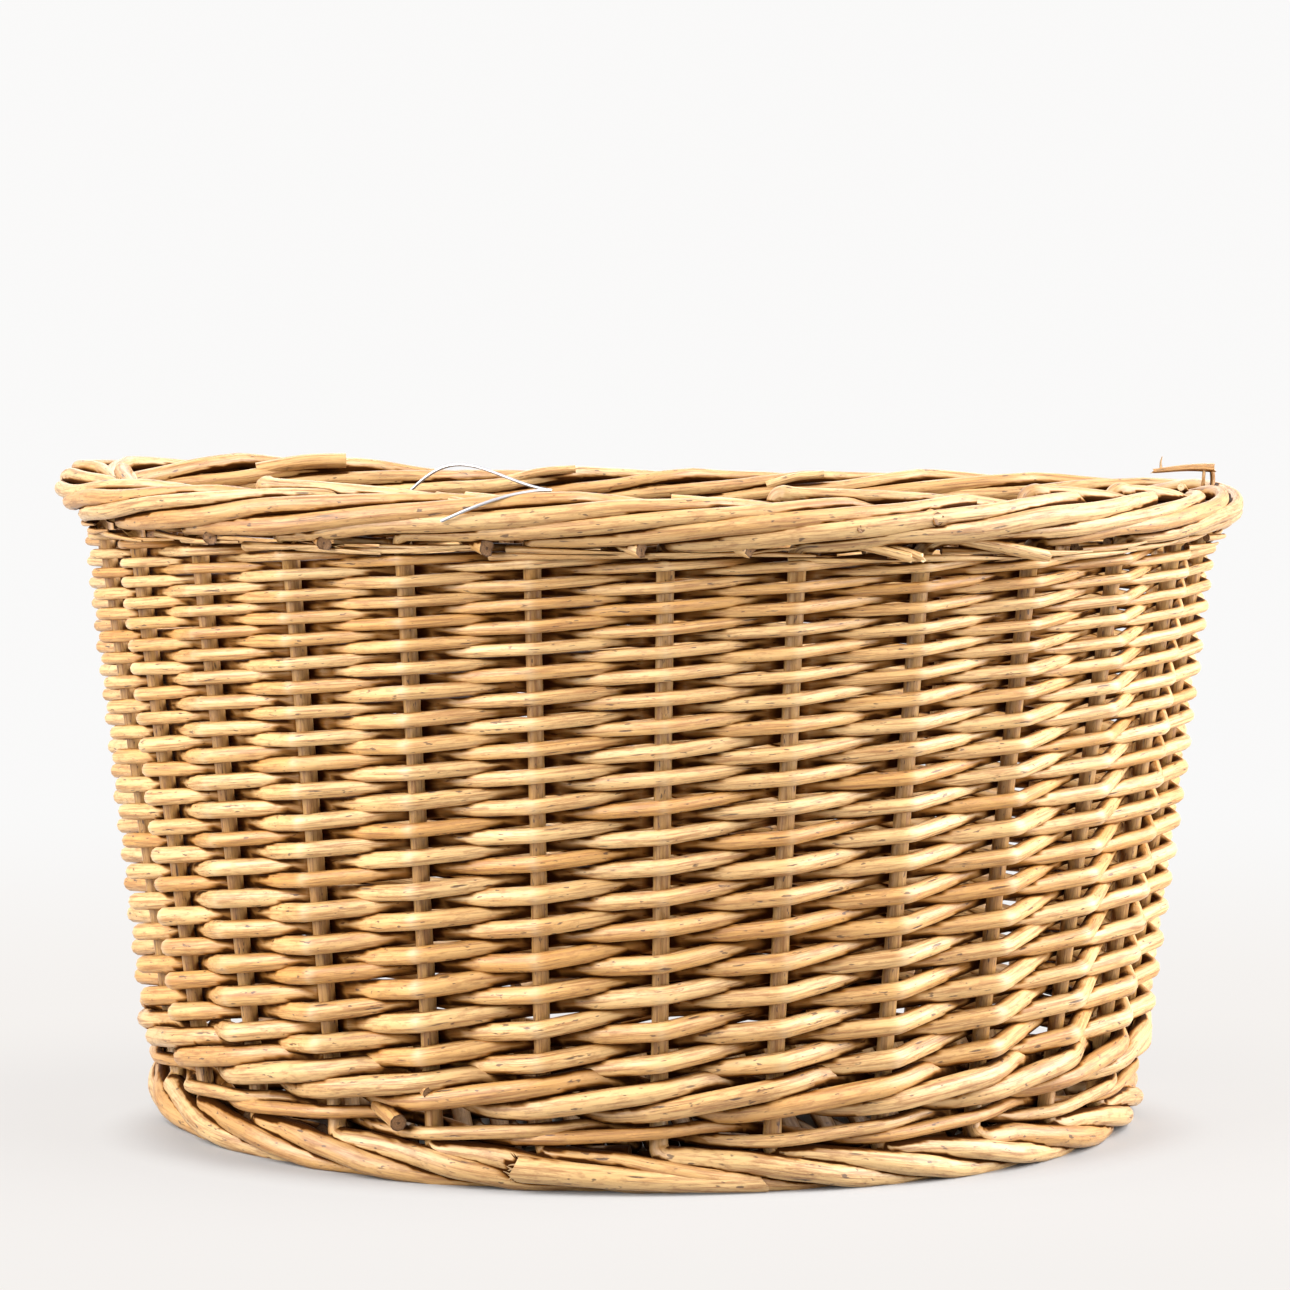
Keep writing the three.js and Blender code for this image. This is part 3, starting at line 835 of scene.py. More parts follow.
def willow(name, pale, mid, deep, closeness=1.0):
    """Peeled and varnished willow: streaks, blotches, leaf scars, fine cracks, painted shade in crevices
    and where rods pass behind, and paler bends that are partly bared wood and partly a painted highlight.
    """
    nodes = Nodes(bpy.data.materials.new(name))
    place = RodCoordinates(nodes)
    # Painted shade: the shelter, made weaker on the standing parts of the stakes
    upright = nodes.attribute("upright")
    standing_drop = nodes.times(upright, closeness - UPRIGHT_CLOSENESS)
    strength = nodes.math("SUBTRACT", closeness, standing_drop)
    shelter = nodes.times(nodes.attribute("shelter"), strength)
    blotch = place.pattern(*BLOTCH)
    grain = place.pattern(*GRAIN)
    mottle = place.pattern(*MOTTLE)
    fibre = place.pattern(*FIBRE)
    speck = place.pattern(*SPECK)
    scar_places = {"Vector": place.stretched(*SCAR_STRETCH), "Scale": SCAR_SCALE}
    scar = nodes.add("TexVoronoi", scar_places, "Distance")
    # dark serves both the painted shade of deep crevices and the cracks, specks and scars
    dark = tinted(deep, CREVICE_SHADE_AND_MARK_TINT)
    bare_and_highlight = tinted(pale, BARE_AND_HIGHLIGHT_TINT, BARE_AND_HIGHLIGHT_LIFT)
    weathered = tinted(mid, WEATHERED_TINT)
    tone = nodes.times(nodes.attribute("tone"), TONE_WARMTH)
    warm = nodes.plus(nodes.times(blotch, BLOTCH_WARMTH), tone)
    crack = nodes.math("ABSOLUTE", nodes.math("SUBTRACT", fibre, 0.5))
    crack = nodes.spread(crack, *CRACK_RANGE)
    crack = nodes.times(crack, nodes.spread(blotch, *CRACKED_RANGE))
    scar_mark = nodes.spread(scar, *SCAR_RANGE)
    scar_mark = nodes.times(scar_mark, nodes.spread(speck, *SCARRED_RANGE))
    layers = (
        (nodes.spread(warm, *WARM_RANGE), mid),
        (nodes.times(upright, WEATHERED_SHARE), weathered),
        (nodes.spread(grain, *GRAIN_RANGE), deep),
        (nodes.spread(mottle, *MOTTLE_RANGE), deep),
        # Painted shade where rods pass behind a stake
        (nodes.times(nodes.attribute("tucked"), TUCKED_SHADE_SHARE), deep),
        # Paler bend: partly bared wood, partly a painted highlight
        (nodes.times(nodes.attribute("kink"), KINK_BARE_AND_HIGHLIGHT_SHARE), bare_and_highlight),
        # Painted shade in sheltered places, deep and then dark
        (nodes.spread(shelter, *SHELTER_DEEP_RANGE), deep),
        (nodes.spread(shelter, *SHELTER_DARK_RANGE), dark),
        (nodes.times(crack, CRACK_SHARE), dark),
        (nodes.spread(speck, *SPECK_RANGE), dark),
        (nodes.times(scar_mark, SCAR_SHARE), dark),
    )
    colour = pale
    for share, tint in layers:
        colour = nodes.mix(share, colour, tint)
    relief = 0.0
    for pattern, height in zip((grain, mottle, blotch, scar_mark, crack), RELIEF_HEIGHTS):
        relief = nodes.plus(relief, nodes.times(pattern, height))
    nodes.give("Base Color", colour)
    nodes.give("Roughness", nodes.spread(grain, *ROUGHNESS_RANGE))
    nodes.give("Normal", nodes.bump(relief, *WOOD_BUMP))
    # Shelter also takes gloss and coat away: shade painted onto the reflections
    nodes.give("Specular IOR Level", nodes.spread(shelter, *GLOSS_RANGE))
    nodes.give("Coat Weight", nodes.spread(shelter, *VARNISH_RANGE))
    nodes.give("Coat Roughness", nodes.spread(mottle, *VARNISH_ROUGHNESS_RANGE))
    nodes.give("Coat IOR", VARNISH_IOR)
    return nodes.owner


def cut_wood(name, pale, dark):
    """End grain of a cut rod: a pith in the middle, rings and knife marks."""
    nodes = Nodes(bpy.data.materials.new(name))
    x, y = nodes.along_map()
    radius = nodes.math("SQRT", nodes.plus(nodes.times(x, x), nodes.times(y, y)))
    marks = nodes.noise(nodes.combine(x, y, nodes.attribute("tone")), *CUT_MARKS)
    rings = nodes.math("SINE", nodes.times(nodes.plus(radius, marks), CUT_RINGS))
    colour = nodes.mix(nodes.spread(rings, *RING_RANGE), pale, dark)
    ragged_radius = nodes.plus(radius, nodes.times(marks, CUT_UNEVENNESS))
    colour = nodes.mix(nodes.spread(ragged_radius, *PITH_RANGE), colour, dark)
    colour = nodes.mix(nodes.spread(ragged_radius, *CUT_EDGE_RANGE), colour, dark)
    nodes.give("Base Color", colour)
    nodes.give("Roughness", nodes.spread(marks, *CUT_ROUGHNESS_RANGE))
    nodes.give("Normal", nodes.bump(marks, *CUT_BUMP))
    return nodes.owner


def steel(name):
    """Bare drawn wire with faint draw marks."""
    nodes = Nodes(bpy.data.materials.new(name))
    marks = RodCoordinates(nodes).pattern(*DRAW_MARKS)
    nodes.give("Base Color", nodes.mix(nodes.spread(marks, *STEEL_RANGE), *STEEL_COLOURS))
    nodes.give("Metallic", 1.0)
    nodes.give("Roughness", nodes.spread(marks, *STEEL_ROUGHNESS_RANGE))
    nodes.give("Normal", nodes.bump(marks, *STEEL_BUMP))
    return nodes.owner


surfaces = {
    "stake_willow": willow("stake_willow", *STAKE_WOOD, STAKE_CLOSENESS),
    "weaver_willow": willow("weaver_willow", *WEAVER_WOOD),
    "wale_willow": willow("wale_willow", *WALE_WOOD),
    "base_willow": willow("base_willow", *BASE_WOOD),
    "tie_wire": steel("wire_steel"),
}
end_grain = cut_wood("end_grain", *OLD_CUT)
pale_cut = cut_wood("pale_cut", *FRESH_CUT)
pieces = []


def add_piece(name, slot, rods, *nodes, cut=end_grain):
    """Notes a piece: its slot, its rods, the solids it replaces and the look of its cut ends."""
    pieces.append({"name": name, "slot": slot, "rods": rods, "nodes": nodes, "cut": cut})


def add_numbered(stem, i, slot, rods):
    """Notes the piece that replaces one of several numbered solids."""
    add_piece(f"{stem}_rod_{i + 1:02d}", slot, rods, f"{stem}_{i + 1:02d}")


def elbow_rod(place, run, lift, rng):
    """A rod end that comes up inside the border, bends sharply and sinks into the roll."""
    controls = [
        (0.02, -0.0065, -0.005),
        (0.0, -0.0068, 0.003),
        (0.01, -0.006, 0.0075),
        (0.06, -0.005, 0.0088),
        (0.14, -0.004, 0.0087),
        (0.4 * run, -0.0018, 0.0082),
        (0.75 * run, 0.001, 0.0068),
        (run, 0.003, 0.0045),
    ]
    path = smooth_path(controls, ELBOW_STEPS)
    points = spot_on(rim_line, place + path[:, 0], path[:, 1], path[:, 2] + lift)
    bulge = 0.16 * np.exp(-((path[:, 0] - 0.06) / 0.07) ** 2)
    radii = BORDER_RADIUS * (np.linspace(1.0, 0.8, len(points)) + bulge)
    # Painted shade where the rod end comes up from inside the border
    tucked = np.exp(-((path[:, 0] - 0.03) / 0.06) ** 2)
    return make_rod(points, radii, THICK_ROD_SIDES, rng.random(), {"tucked": tucked})


# Stakes: foot stroke, upright and border stroke in one bent rod
upwards = (0, 0, 1)
foot_reach = KNUCKLE_REACH * FOOT_KNUCKLE_STRETCH * STAKE_COUNT / base_line["length"]
border_reach = KNUCKLE_REACH * STAKE_COUNT / rim_line["length"]
foot_steps = np.linspace(foot_reach, FOOT_STRANDS - FOOT_END_SHORTFALL, STROKE_STEPS * FOOT_STRANDS)
border_end = BORDER_STRANDS + BORDER_TAIL
border_steps = np.linspace(border_reach, border_end, STROKE_STEPS * (BORDER_STRANDS + 1))
knuckle_radius = UPRIGHT_RADIUS * KNUCKLE_FULLNESS
half_knuckle = KNUCKLE_STEPS // 2
for i in range(STAKE_COUNT):
    rng = random.Random(100 + i)
    knuckle_out = FOOT_KNUCKLE_OUT * rng.uniform(*FOOT_KNUCKLE_SIZES)
    knuckle_out = knuckle_out * np.exp(-(foot_steps / FOOT_KNUCKLE_LENGTH) ** 2)
    foot_run = foot_stroke(i, foot_steps, knuckle_out)
    border_run = border_stroke(i, border_steps, rng.uniform(*BORDER_SWELL))
    border_run = border_run + np.outer(wave(rng, len(border_run), waves=3) * BORDER_WOBBLE, upwards)
    foot_run = foot_run + np.outer(wave(rng, len(foot_run), waves=3) * FOOT_WOBBLE, upwards)
    foot_corner = foot_stroke(i, [0.0], knuckle_out[0] * FOOT_CORNER_SHARE)[0]
    border_corner = border_stroke(i, [0.0], 0.0)[0]
    low_end = stake_at(i, foot_corner[2] + KNUCKLE_REACH)
    high_end = stake_at(i, border_corner[2] - KNUCKLE_REACH)
    foot_bend = bezier(foot_run[0], foot_corner, low_end, KNUCKLE_STEPS)[1:]
    border_bend = bezier(high_end, border_corner, border_run[0], KNUCKLE_STEPS)[:-1]
    heights = np.linspace(low_end[2], high_end[2], UPRIGHT_STEPS)[1:-1]
    upright = np.array([stake_at(i, z) for z in heights])
    points = np.vstack([foot_run[::-1], foot_bend, upright, border_bend, border_run])
    foot_radii = FOOT_RADIUS * np.interp(foot_steps[::-1], *FOOT_TAPER)
    foot_radii = foot_radii * uneven(rng, len(foot_radii), ROD_UNEVENNESS, waves=4)
    foot_radii = foot_radii * rng.uniform(*FOOT_SIZES)
    border_radii = BORDER_RADIUS * np.interp(border_steps, *BORDER_TAPER)
    border_radii = border_radii * uneven(rng, len(border_radii), BORDER_UNEVENNESS, waves=5)
    border_radii = border_radii * rng.uniform(*BORDER_SIZES)
    bend_low = np.linspace(foot_radii[-1], knuckle_radius, len(foot_bend))
    bend_high = np.linspace(knuckle_radius, border_radii[0], len(border_bend))
    upright_radii = UPRIGHT_RADIUS * uneven(rng, len(upright), UPRIGHT_UNEVENNESS, waves=2)
    radii = np.concatenate([foot_radii, bend_low, upright_radii, bend_high, border_radii])
    standing = np.zeros(len(points))
    standing[len(foot_run) + half_knuckle:len(points) - len(border_run) - half_knuckle] = 1
    rods = [make_rod(points, radii, THICK_ROD_SIDES, rng.random(), {"upright": standing})]
    if i in ELBOWS:
        rods.append(elbow_rod(*ELBOWS[i], rng))
    add_numbered("stake", i, "stake_willow", rods)


def add_wale(stem, count, diameter, radius, lowest_z, first_stake, seed):
    """Wale rods in front of two stakes and behind one, lying like the strands of a rope."""
    pitch = diameter + ROW_GAP
    for i in range(count):
        rng = random.Random(seed + i)
        corners = []
        beats = []
        for step in range(STAKE_COUNT):
            beat = step % WALE_REPEAT
            stake = first_stake + i + step
            base = lowest_z + diameter / 2 + rng.uniform(-WALE_WOBBLE, WALE_WOBBLE)
            z = base + WALE_LEVELS[beat] * pitch if step else base
            side = -1 if beat == 0 else 1
            corners.append(pass_point(stake, z, max(diameter / 2, radius), side))
            beats.append(step)
            if beat in WALE_HALFWAY_LEVELS and step < STAKE_COUNT - 1:
                z = base + WALE_HALFWAY_LEVELS[beat] * pitch
                ends = [stake_at((stake + k) % STAKE_COUNT, z) for k in (0, 1)]
                corners.append((ends[0] + ends[1]) / 2)
                beats.append(step + 0.5)
        points, counts = bent_path(corners, WALE_BEND, bend_steps=6, run_steps=3)
        counts = np.interp(counts, np.arange(len(beats)), beats)
        radii = radius * uneven(rng, len(points), ROD_UNEVENNESS, waves=7)
        # Painted shade where the wale rod passes behind a stake
        tucked = np.clip(np.cos(counts * 2 * math.pi / WALE_REPEAT), 0, 1)
        rods = [make_rod(points, radii, ROD_SIDES, rng.random(), {"tucked": tucked})]
        add_numbered(stem, i, "wale_willow", rods)
    return lowest_z + WALE_REPEAT * pitch


fine_wale_top = add_wale("fine_wale", FINE_WALE_RODS, FINE_WALE_DIAMETER, FINE_WALE_RADIUS,
                         foot_top + ROW_GAP, first_stake=0, seed=700)
upset_wale_top = add_wale("upset_wale", UPSET_WALE_RODS, UPSET_WALE_DIAMETER, UPSET_WALE_RADIUS,
                          fine_wale_top, first_stake=1, seed=720)

# Weavers: one tapering rod from behind every stake, all climbing one row at every stake
butt_pitch = WEAVER_BUTT_DIAMETER + ROW_GAP
tip_pitch = WEAVER_TIP_DIAMETER + ROW_GAP
mean_pitch = (butt_pitch + tip_pitch) / 2
wale_step = min(butt_pitch, UPSET_WALE_DIAMETER + ROW_GAP)
first_row_z = upset_wale_top - wale_step + WEAVER_BUTT_DIAMETER / 2
last_row_z = border_underside - ROW_GAP - WEAVER_TIP_DIAMETER / 2
rows = 2 * math.floor((last_row_z - first_row_z) / mean_pitch / 2)
stretch = (last_row_z - first_row_z) / (rows * mean_pitch)


def row_z(row):
    return first_row_z + stretch * row * (butt_pitch + (tip_pitch - butt_pitch) * row / (2 * rows))


def row_pitch(row):
    return stretch * (butt_pitch + (tip_pitch - butt_pitch) * row / rows)


for i in range(STAKE_COUNT):
    rng = random.Random(900 + i)
    corners = []
    for row in range(rows + 1):
        pitch = row_pitch(row)
        side = -1 if row % 2 == 0 else 1
        z = row_z(row) + rng.uniform(-ROW_WOBBLE, ROW_WOBBLE) * pitch
        z = z + rim_rise(i + row) * (row / rows) ** RIM_WARP_FADE
        corners.append(pass_point(i + row, z, WEAVER_FULLNESS * pitch / 2, side))
    points, counts = bent_path(corners, WEAVER_BEND, bend_steps=5, run_steps=8)
    radii = WEAVER_FULLNESS * row_pitch(counts) / 2
    radii = radii * uneven(rng, len(points), ROD_UNEVENNESS, waves=9) * rng.uniform(*WEAVER_SIZES)
    # Painted shade where the weaver passes behind a stake
    tucked = np.clip(np.cos(math.pi * counts), 0, 1) ** 4
    # Paler kink at the outer bends: partly bared wood, partly a painted highlight
    kink = np.clip(1 - np.abs(np.mod(counts, 2) - 1) / KINK_LENGTH, 0, 1)
    rods = [make_rod(points, radii, ROD_SIDES, rng.random(), {"tucked": tucked, "kink": kink})]
    add_numbered("weaver", i, "weaver_willow", rods)

# Base: sticks from side to side on the inner shoulder of the foot, woven by a rod that doubles back
seat = min(1.0, BASE_STICK_END_INSET / (foot["across"] + stake_radius))
shoulder = (foot["tall"] + stake_radius) * math.sqrt(1 - seat * seat)
base_z = foot_z + shoulder + BASE_STICK_DIAMETER / 2
base_front = base_centre_y - BASE_FRONT_DEPTH
base_back = base_centre_y + BASE_BACK_DEPTH


def half_width_at(y, inset):
    """Half the width of the base at a distance from front to back."""
    is_back = y >= base_centre_y
    depth = (BASE_BACK_DEPTH if is_back else BASE_FRONT_DEPTH) - inset
    roundness = BACK_ROUNDNESS if is_back else FRONT_ROUNDNESS
    reach = min(1.0, abs(y - base_centre_y) / depth)
    return (BASE_HALF_WIDTH - inset) * (1 - reach ** roundness) ** (1 / roundness)


def depth_at(x, inset):
    """Front and back of the base at a distance from side to side."""
    reach = min(1.0, abs(x) / (BASE_HALF_WIDTH - inset))
    front = (BASE_FRONT_DEPTH - inset) * (1 - reach ** FRONT_ROUNDNESS) ** (1 / FRONT_ROUNDNESS)
    back = (BASE_BACK_DEPTH - inset) * (1 - reach ** BACK_ROUNDNESS) ** (1 / BACK_ROUNDNESS)
    return base_centre_y - front, base_centre_y + back


stick_spread = (base_back - base_front - 2 * BASE_EDGE_INSET) / (BASE_STICK_COUNT + 0.5)
stick_y = []
for i in range(BASE_STICK_COUNT):
    rng = random.Random(1200 + i)
    y = base_back - BASE_EDGE_INSET - (i + 0.5) * stick_spread
    half = half_width_at(y, BASE_STICK_END_INSET)
    stick_y.append(y)
    x = np.linspace(-half, half, STICK_STEPS)
    wobble = STICK_WOBBLE * wave(rng, STICK_STEPS, waves=2)
    points = np.stack([x, y + wobble, np.full(STICK_STEPS, base_z)], axis=1)
    radii = BASE_STICK_RADIUS * uneven(rng, STICK_STEPS, ROD_UNEVENNESS, waves=3)
    rods = [make_rod(points, radii, ROD_SIDES, rng.random())]
    add_numbered("base_stick", i, "base_willow", rods)

base_pitch = BASE_WEAVER_DIAMETER + ROW_GAP
base_lift = (BASE_STICK_DIAMETER + BASE_WEAVER_DIAMETER) / 2 + PASS_GAP
base_offset = base_lift / math.cos(math.atan2(2 * base_lift, stick_spread))
base_reach = BASE_HALF_WIDTH - BASE_EDGE_INSET - BASE_WEAVER_DIAMETER
passes = 2 * math.floor(base_reach / base_pitch)


def pass_x(index):
    return (index - (passes - 1) / 2) * base_pitch


base_corners = []
for index in range(passes):
    is_even = index % 2 == 0
    front_mate = index + 1 if is_even else index - 1
    back_mate = 2 * index - front_mate
    x = pass_x(index)
    back = depth_at(max(abs(x), abs(pass_x(back_mate))), BASE_DRAWN_INSET)[1]
    front = depth_at(max(abs(x), abs(pass_x(front_mate))), BASE_DRAWN_INSET)[0]
    for y in stick_y:
        back = y - 2 * base_lift if abs(y - back) < 2 * base_lift else back
        front = y + 2 * base_lift if abs(y - front) < 2 * base_lift else front
    run = [(x, back, base_z)]
    for i, y in enumerate(stick_y):
        side = 1 if (i + index) % 2 == 0 else -1
        if front < y < back:
            run.append((x, y, base_z + side * base_offset))
    run.append((x, front, base_z))
    base_corners += run if is_even else run[::-1]
points = bent_path(base_corners, BASE_BEND, bend_steps=4, run_steps=2)[0]
base_rng = random.Random(1300)
radii = BASE_WEAVER_RADIUS * uneven(base_rng, len(points), BASE_UNEVENNESS, waves=60)
base_weaver = make_rod(points, radii, ROD_SIDES, tone=0.5)
add_piece("base_weaver_rod", "base_willow", [base_weaver], "base_weaver")

# Tie wire: out between the border's rods, over the border, a free loop, and down on the inside
wire_across = border["across"] + stake_radius + WIRE_DIAMETER / 2 + PASS_GAP
wire_tall = border["tall"] + stake_radius + WIRE_DIAMETER / 2 + PASS_GAP
out_share = np.linspace(0, 1, WIRE_STEPS, endpoint=False)
back_share = np.linspace(0, 1, WIRE_STEPS + 1)
wire_places = WIRE_LEFT_PLACE + WIRE_SPAN * np.concatenate([
    WIRE_START_SHARE + (1 - WIRE_START_SHARE) * out_share,
    1 - (1 + WIRE_TAIL) * back_share,
])
wire_angles = np.concatenate([
    math.pi / 2 * out_share,
    math.pi / 2 + (WIRE_INSIDE_ANGLE - math.pi / 2) * back_share,
])
wire_lift = np.concatenate([np.zeros(WIRE_STEPS), WIRE_LIFT * np.sin(math.pi * back_share ** 1.5)])
points = spot_on(rim_line, wire_places, BORDER_OVERHANG + wire_across * np.cos(wire_angles),
                 wire_tall * np.sin(wire_angles) + wire_lift)
wire = make_rod(points, WIRE_DRAWN_RADIUS, THIN_ROD_SIDES, tone=0.4)
add_piece("tie_wire_loop", "tie_wire", [wire], "tie_wire", cut=surfaces["tie_wire"])


def edge_rod(line, controls, start_radius, end_radius, tone, **kind):
    """A short rod lying on a rolled edge, through points given as place, way out and rise."""
    path = smooth_path(controls, EDGE_STEPS)
    points = spot_on(line, path[:, 0], path[:, 1], path[:, 2])
    radii = np.linspace(start_radius, end_radius, len(points))
    return make_rod(points, radii, ROD_SIDES, tone, **kind)


# Butt ends cut off under the border, dark in their end grain
butt_rng = random.Random(1500)
butt_ends = []
for place in BUTT_PLACES:
    radius = butt_rng.uniform(*BUTT_RADII)
    tip_out = butt_rng.uniform(*BUTT_TIPS_OUT)
    controls = [(place - 0.22, 0.001, -0.0062), (place - 0.1, 0.0055, -0.0074), (place, tip_out, -0.0086)]
    tone = butt_rng.random()
    butt_ends.append(edge_rod(rim_line, controls, radius * 0.95, radius, tone, ragged=BUTT_RAGGEDNESS))

# Knots where side shoots were cut off the border's rods
for place, rise, radius in KNOTS:
    controls = [
        (place - 0.02, 0.008, rise - 0.0004),
        (place - 0.01, 0.012, rise - 0.0002),
        (place, 0.0149, rise),
    ]
    butt_ends.append(edge_rod(rim_line, controls, radius * 1.7, radius, tone=0.7, ragged=KNOT_RAGGEDNESS))

# A thick end cut off on the inner side of the back
butt_ends.append(edge_rod(rim_line, BACK_END, BORDER_RADIUS, BORDER_RADIUS, tone=0.6))
add_piece("border_butt_ends", "stake_willow", butt_ends)

# Stubs that stick out below the border with fresh slanting cuts
stub_rng = random.Random(1520)
stubs = []
for place, run, radius in STUBS:
    controls = [
        (place - 0.3, 0.003, -0.004),
        (place + 0.3 * run, 0.0088, -0.0078),
        (place + run, 0.0126, -0.0108),
    ]
    stubs.append(edge_rod(rim_line, controls, radius, radius, stub_rng.random() * 0.5, **STUB_KIND))
add_piece("border_stubs", "weaver_willow", stubs, cut=pale_cut)

# Thin rods cut short on the inner side of the border's top
short_rng = random.Random(1540)
short_ends = []
for place, run in SHORT_ENDS:
    rise = short_rng.uniform(*SHORT_END_RISES)
    controls = [
        (place, -0.0085, rise),
        (place + 0.5 * run, -0.0075, rise - 0.0012),
        (place + run, -0.0055, rise - 0.0045),
    ]
    short_ends.append(edge_rod(rim_line, controls, *SHORT_END_RADII, short_rng.random() * 0.4))
add_piece("border_short_ends", "weaver_willow", short_ends, cut=pale_cut)

# Tips of the weavers, worked away under the border on its outer and inner side
tip_rng = random.Random(1560)
tips = []
for k in range(4 * STAKE_COUNT):
    side = 1 if k < 2 * STAKE_COUNT else -1
    place = k / 2 + tip_rng.uniform(*TIP_SHIFTS)
    run = tip_rng.uniform(*TIP_RUNS)
    rise = tip_rng.uniform(*TIP_RISES)
    if side < 0:
        rise += INNER_TIP_LIFT
    slope = tip_rng.uniform(*TIP_SLOPES)
    out = tip_rng.uniform(*TIP_WAYS_OUT)
    controls = [
        (place, side * (out - 0.003), rise),
        (place + 0.5 * run, side * (out + 0.001), rise + 0.4 * slope),
        (place + run, side * (out + 0.001), rise + slope),
    ]
    start_radius = tip_rng.uniform(*TIP_START_RADII)
    tips.append(edge_rod(rim_line, controls, start_radius, TIP_END_RADIUS, tip_rng.random()))
add_piece("weaver_tips", "weaver_willow", tips)

# A stake end on the right of the back that split where it was bent, with a flap that leans inwards
split = [
    edge_rod(rim_line, SPLIT_HALF, 0.0018, 0.002, tone=0.9, flat=0.45, ragged=0.0006),
    edge_rod(rim_line, SPLIT_THIN_HALF, 0.0012, 0.001, tone=0.5, flat=0.6, ragged=0.0012),
    edge_rod(rim_line, SPLIT_FLAP, 0.0028, 0.0014, tone=1.0, flat=0.62, ragged=0.0015),
    edge_rod(rim_line, SPLIT_SPLINTER, 0.0006, 0.0002, tone=0.1),
]
add_piece("split_end", "stake_willow", split, cut=pale_cut)

# A foot stroke whose bend broke open at the front, with loose fibres round the break
torn_rng = random.Random(1600)
torn = [edge_rod(base_line, TORN_STROKE, 0.0044, 0.0032, tone=0.3, ragged=TORN_RAGGEDNESS)]
for k in range(FIBRE_COUNT):
    turn = torn_rng.uniform(0, 2 * math.pi)
    out = TORN_OUT + TORN_RADIUS * math.cos(turn)
    rise = TORN_RISE + TORN_RADIUS * math.sin(turn)
    reach = torn_rng.uniform(*FIBRE_REACHES)
    drift = torn_rng.uniform(*FIBRE_DRIFTS)
    controls = [
        (TORN_PLACE + 0.06, out, rise),
        (TORN_PLACE - 0.5 * reach, out + 0.4 * drift, rise + 0.3 * drift),
        (TORN_PLACE - reach, out + drift, max(rise + drift, FIBRE_LOWEST)),
    ]
    torn.append(edge_rod(base_line, controls, torn_rng.uniform(*FIBRE_RADII), FIBRE_TIP_RADIUS, tone=0.1))
add_piece("torn_foot_end", "stake_willow", torn)

# Cut ends of wale rods
wale_ends = []
for place, z, radius in WALE_ENDS:
    rise = z - foot_z
    controls = [
        (place - 0.34, 0.001, rise + 0.003),
        (place - 0.14, 0.0065, rise + 0.0014),
        (place, 0.0112, rise),
    ]
    wale_ends.append(edge_rod(base_line, controls, radius, radius, tone=0.5))
add_piece("wale_ends", "wale_willow", wale_ends)

filled = wood_grid([rod for piece in pieces for rod in piece["rods"]])
for number, piece in enumerate(pieces):
    materials = [surfaces[piece["slot"]], piece["cut"]]
    made = build_piece(piece["name"], materials, piece["rods"], filled, seed=5000 + number)
    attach(made, "root")
    if piece["nodes"]:
        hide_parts(*piece["nodes"])


def floor_material():
    """Pale studio floor that keeps the basket's shadow and fades to the backdrop further out."""
    nodes = Nodes(bpy.data.materials.new("studio_floor"))
    place = nodes.add("TexCoord", {}, "Object")
    nodes.give("Base Color", nodes.mix(nodes.noise(place, 3.0, 2.0, 0.5), *FLOOR_COLOURS))
    nodes.give("Roughness", 0.9)
    nodes.give("Specular IOR Level", 0.1)
    reaches = (1 / BASE_HALF_WIDTH, 2 / (BASE_FRONT_DEPTH + BASE_BACK_DEPTH), 0)
    squeezed = nodes.add("VectorMath", {0: place, 1: reaches}, operation="MULTIPLY")
    distance = nodes.add("VectorMath", {0: squeezed}, "Value", operation="LENGTH")
    near = nodes.spread(distance, *NEAR_GLOW_RANGE)
    far = nodes.spread(distance, *FAR_GLOW_RANGE)
    haze = nodes.spread(distance, *HAZE_RANGE)
    glow = nodes.add("Emission", {"Color": nodes.mix(haze, FLOOR_GLOW, BACKDROP)})
    nodes.show(nodes.times(nodes.plus(near, far), nodes.seen()), glow)
    return nodes.owner


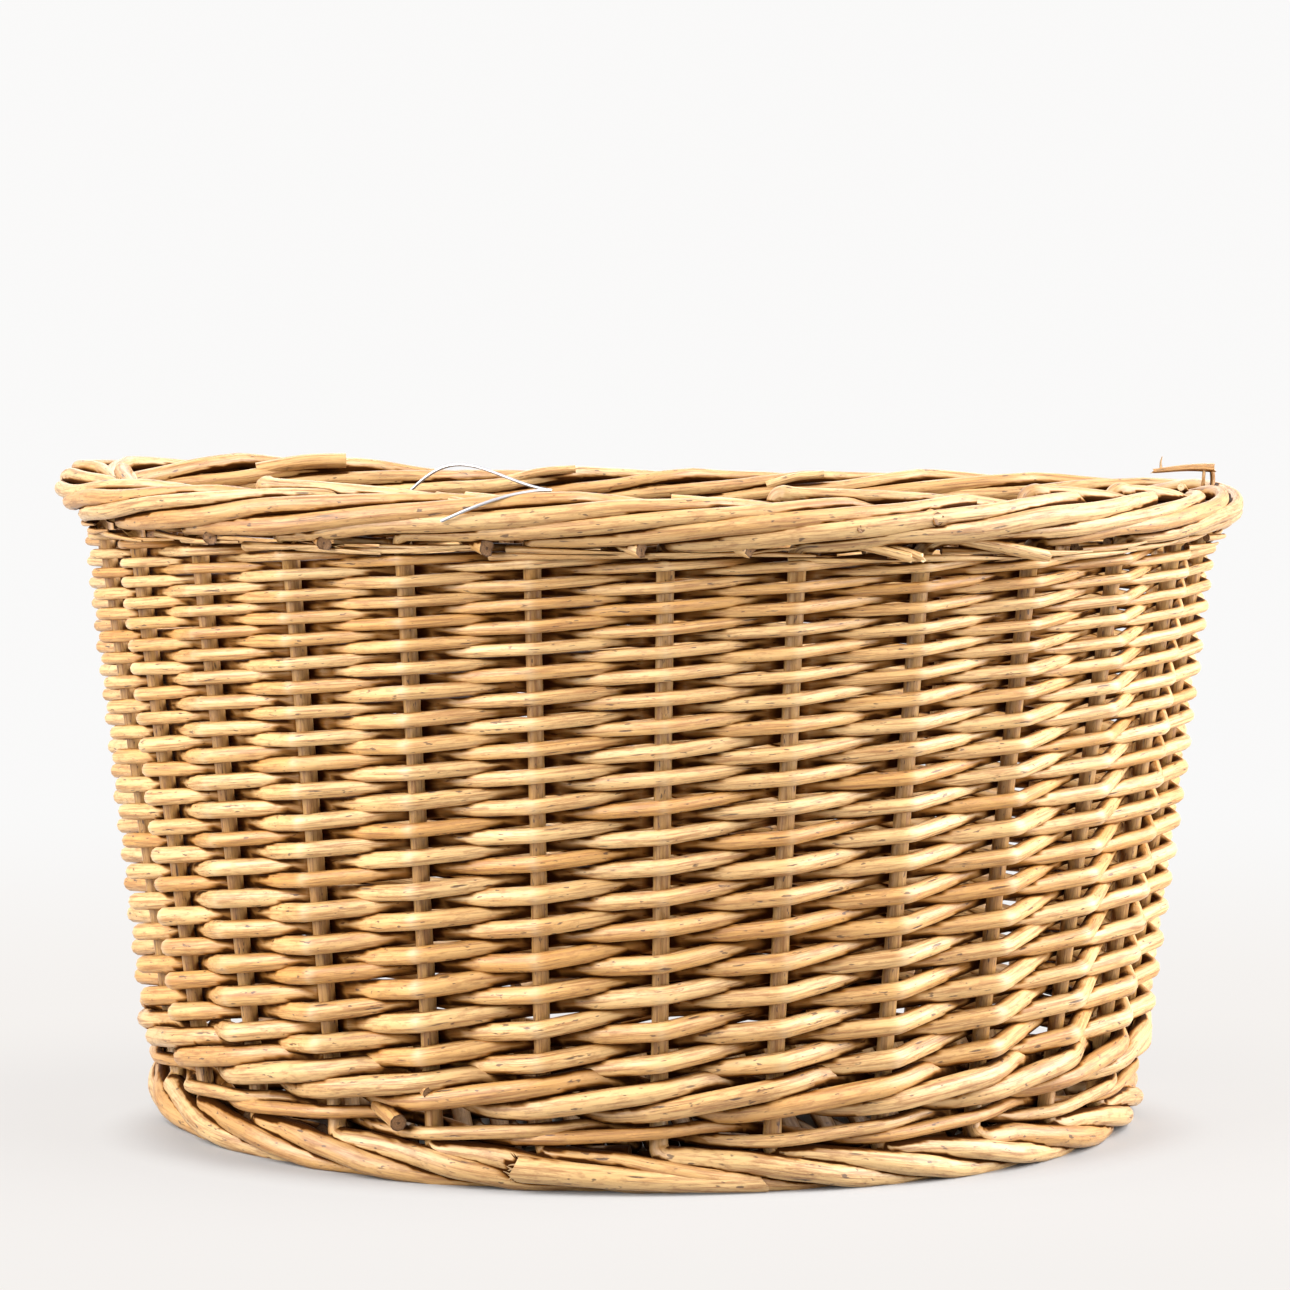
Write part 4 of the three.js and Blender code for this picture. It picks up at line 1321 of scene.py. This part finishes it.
def make_floor():
    """A wide round floor."""
    mesh = bpy.data.meshes.new("floor")
    angles = np.linspace(0, 2 * math.pi, FLOOR_SIDES, endpoint=False)
    rim = [(FLOOR_RADIUS * math.cos(angle), FLOOR_RADIUS * math.sin(angle), 0) for angle in angles]
    mesh.from_pydata(rim, [], [tuple(range(FLOOR_SIDES))])
    mesh.materials.append(floor_material())
    floor = new_object("floor", mesh)


def make_world():
    """Low even light, with a white backdrop behind it."""
    world = bpy.data.worlds.new("studio")
    bpy.context.scene.world = world
    nodes = Nodes(world)
    nodes.give("Color", ROOM_LIGHT)
    nodes.give("Strength", ROOM_LIGHT_STRENGTH)
    backdrop = nodes.add("Background", {"Color": BACKDROP, "Strength": 1.0})
    nodes.show(nodes.seen(), backdrop)


def make_light(name, azimuth, elevation, distance, width, height, power):
    """Softbox at an angle round the basket, aimed at its middle."""
    data = bpy.data.lights.new(name, "AREA")
    data.shape = "RECTANGLE"
    data.size = width
    data.size_y = height
    data.energy = power
    lamp = new_object(name, data)
    round_angle = math.radians(azimuth)
    height_angle = math.radians(elevation)
    away = Vector((
        math.sin(round_angle) * math.cos(height_angle),
        -math.cos(round_angle) * math.cos(height_angle),
        math.sin(height_angle),
    ))
    lamp.location = Vector((0, 0, HEIGHT / 2)) + away * distance
    lamp.rotation_mode = "QUATERNION"
    lamp.rotation_quaternion = away.to_track_quat("Z", "Y")


def make_camera():
    """The camera of the photograph."""
    data = bpy.data.cameras.new("camera")
    data.sensor_width = 36
    data.lens = CAMERA_LENS
    camera = new_object("camera", data)
    matrix = Matrix.Rotation(CAMERA_TURN + CAMERA_PAN, 4, "Z")
    matrix = matrix @ Matrix.Rotation(math.pi / 2 - CAMERA_PITCH, 4, "X")
    matrix = matrix @ Matrix.Rotation(CAMERA_ROLL, 4, "Z")
    matrix.translation = Vector((
        math.sin(CAMERA_TURN) * CAMERA_DISTANCE,
        rim_centre_y - math.cos(CAMERA_TURN) * CAMERA_DISTANCE,
        CAMERA_HEIGHT,
    ))
    camera.matrix_world = matrix
    bpy.context.scene.camera = camera


make_floor()
make_world()
for name, setting in SOFTBOXES.items():
    make_light(name, *setting)
make_camera()
bpy.context.scene.view_settings.view_transform = "Standard"
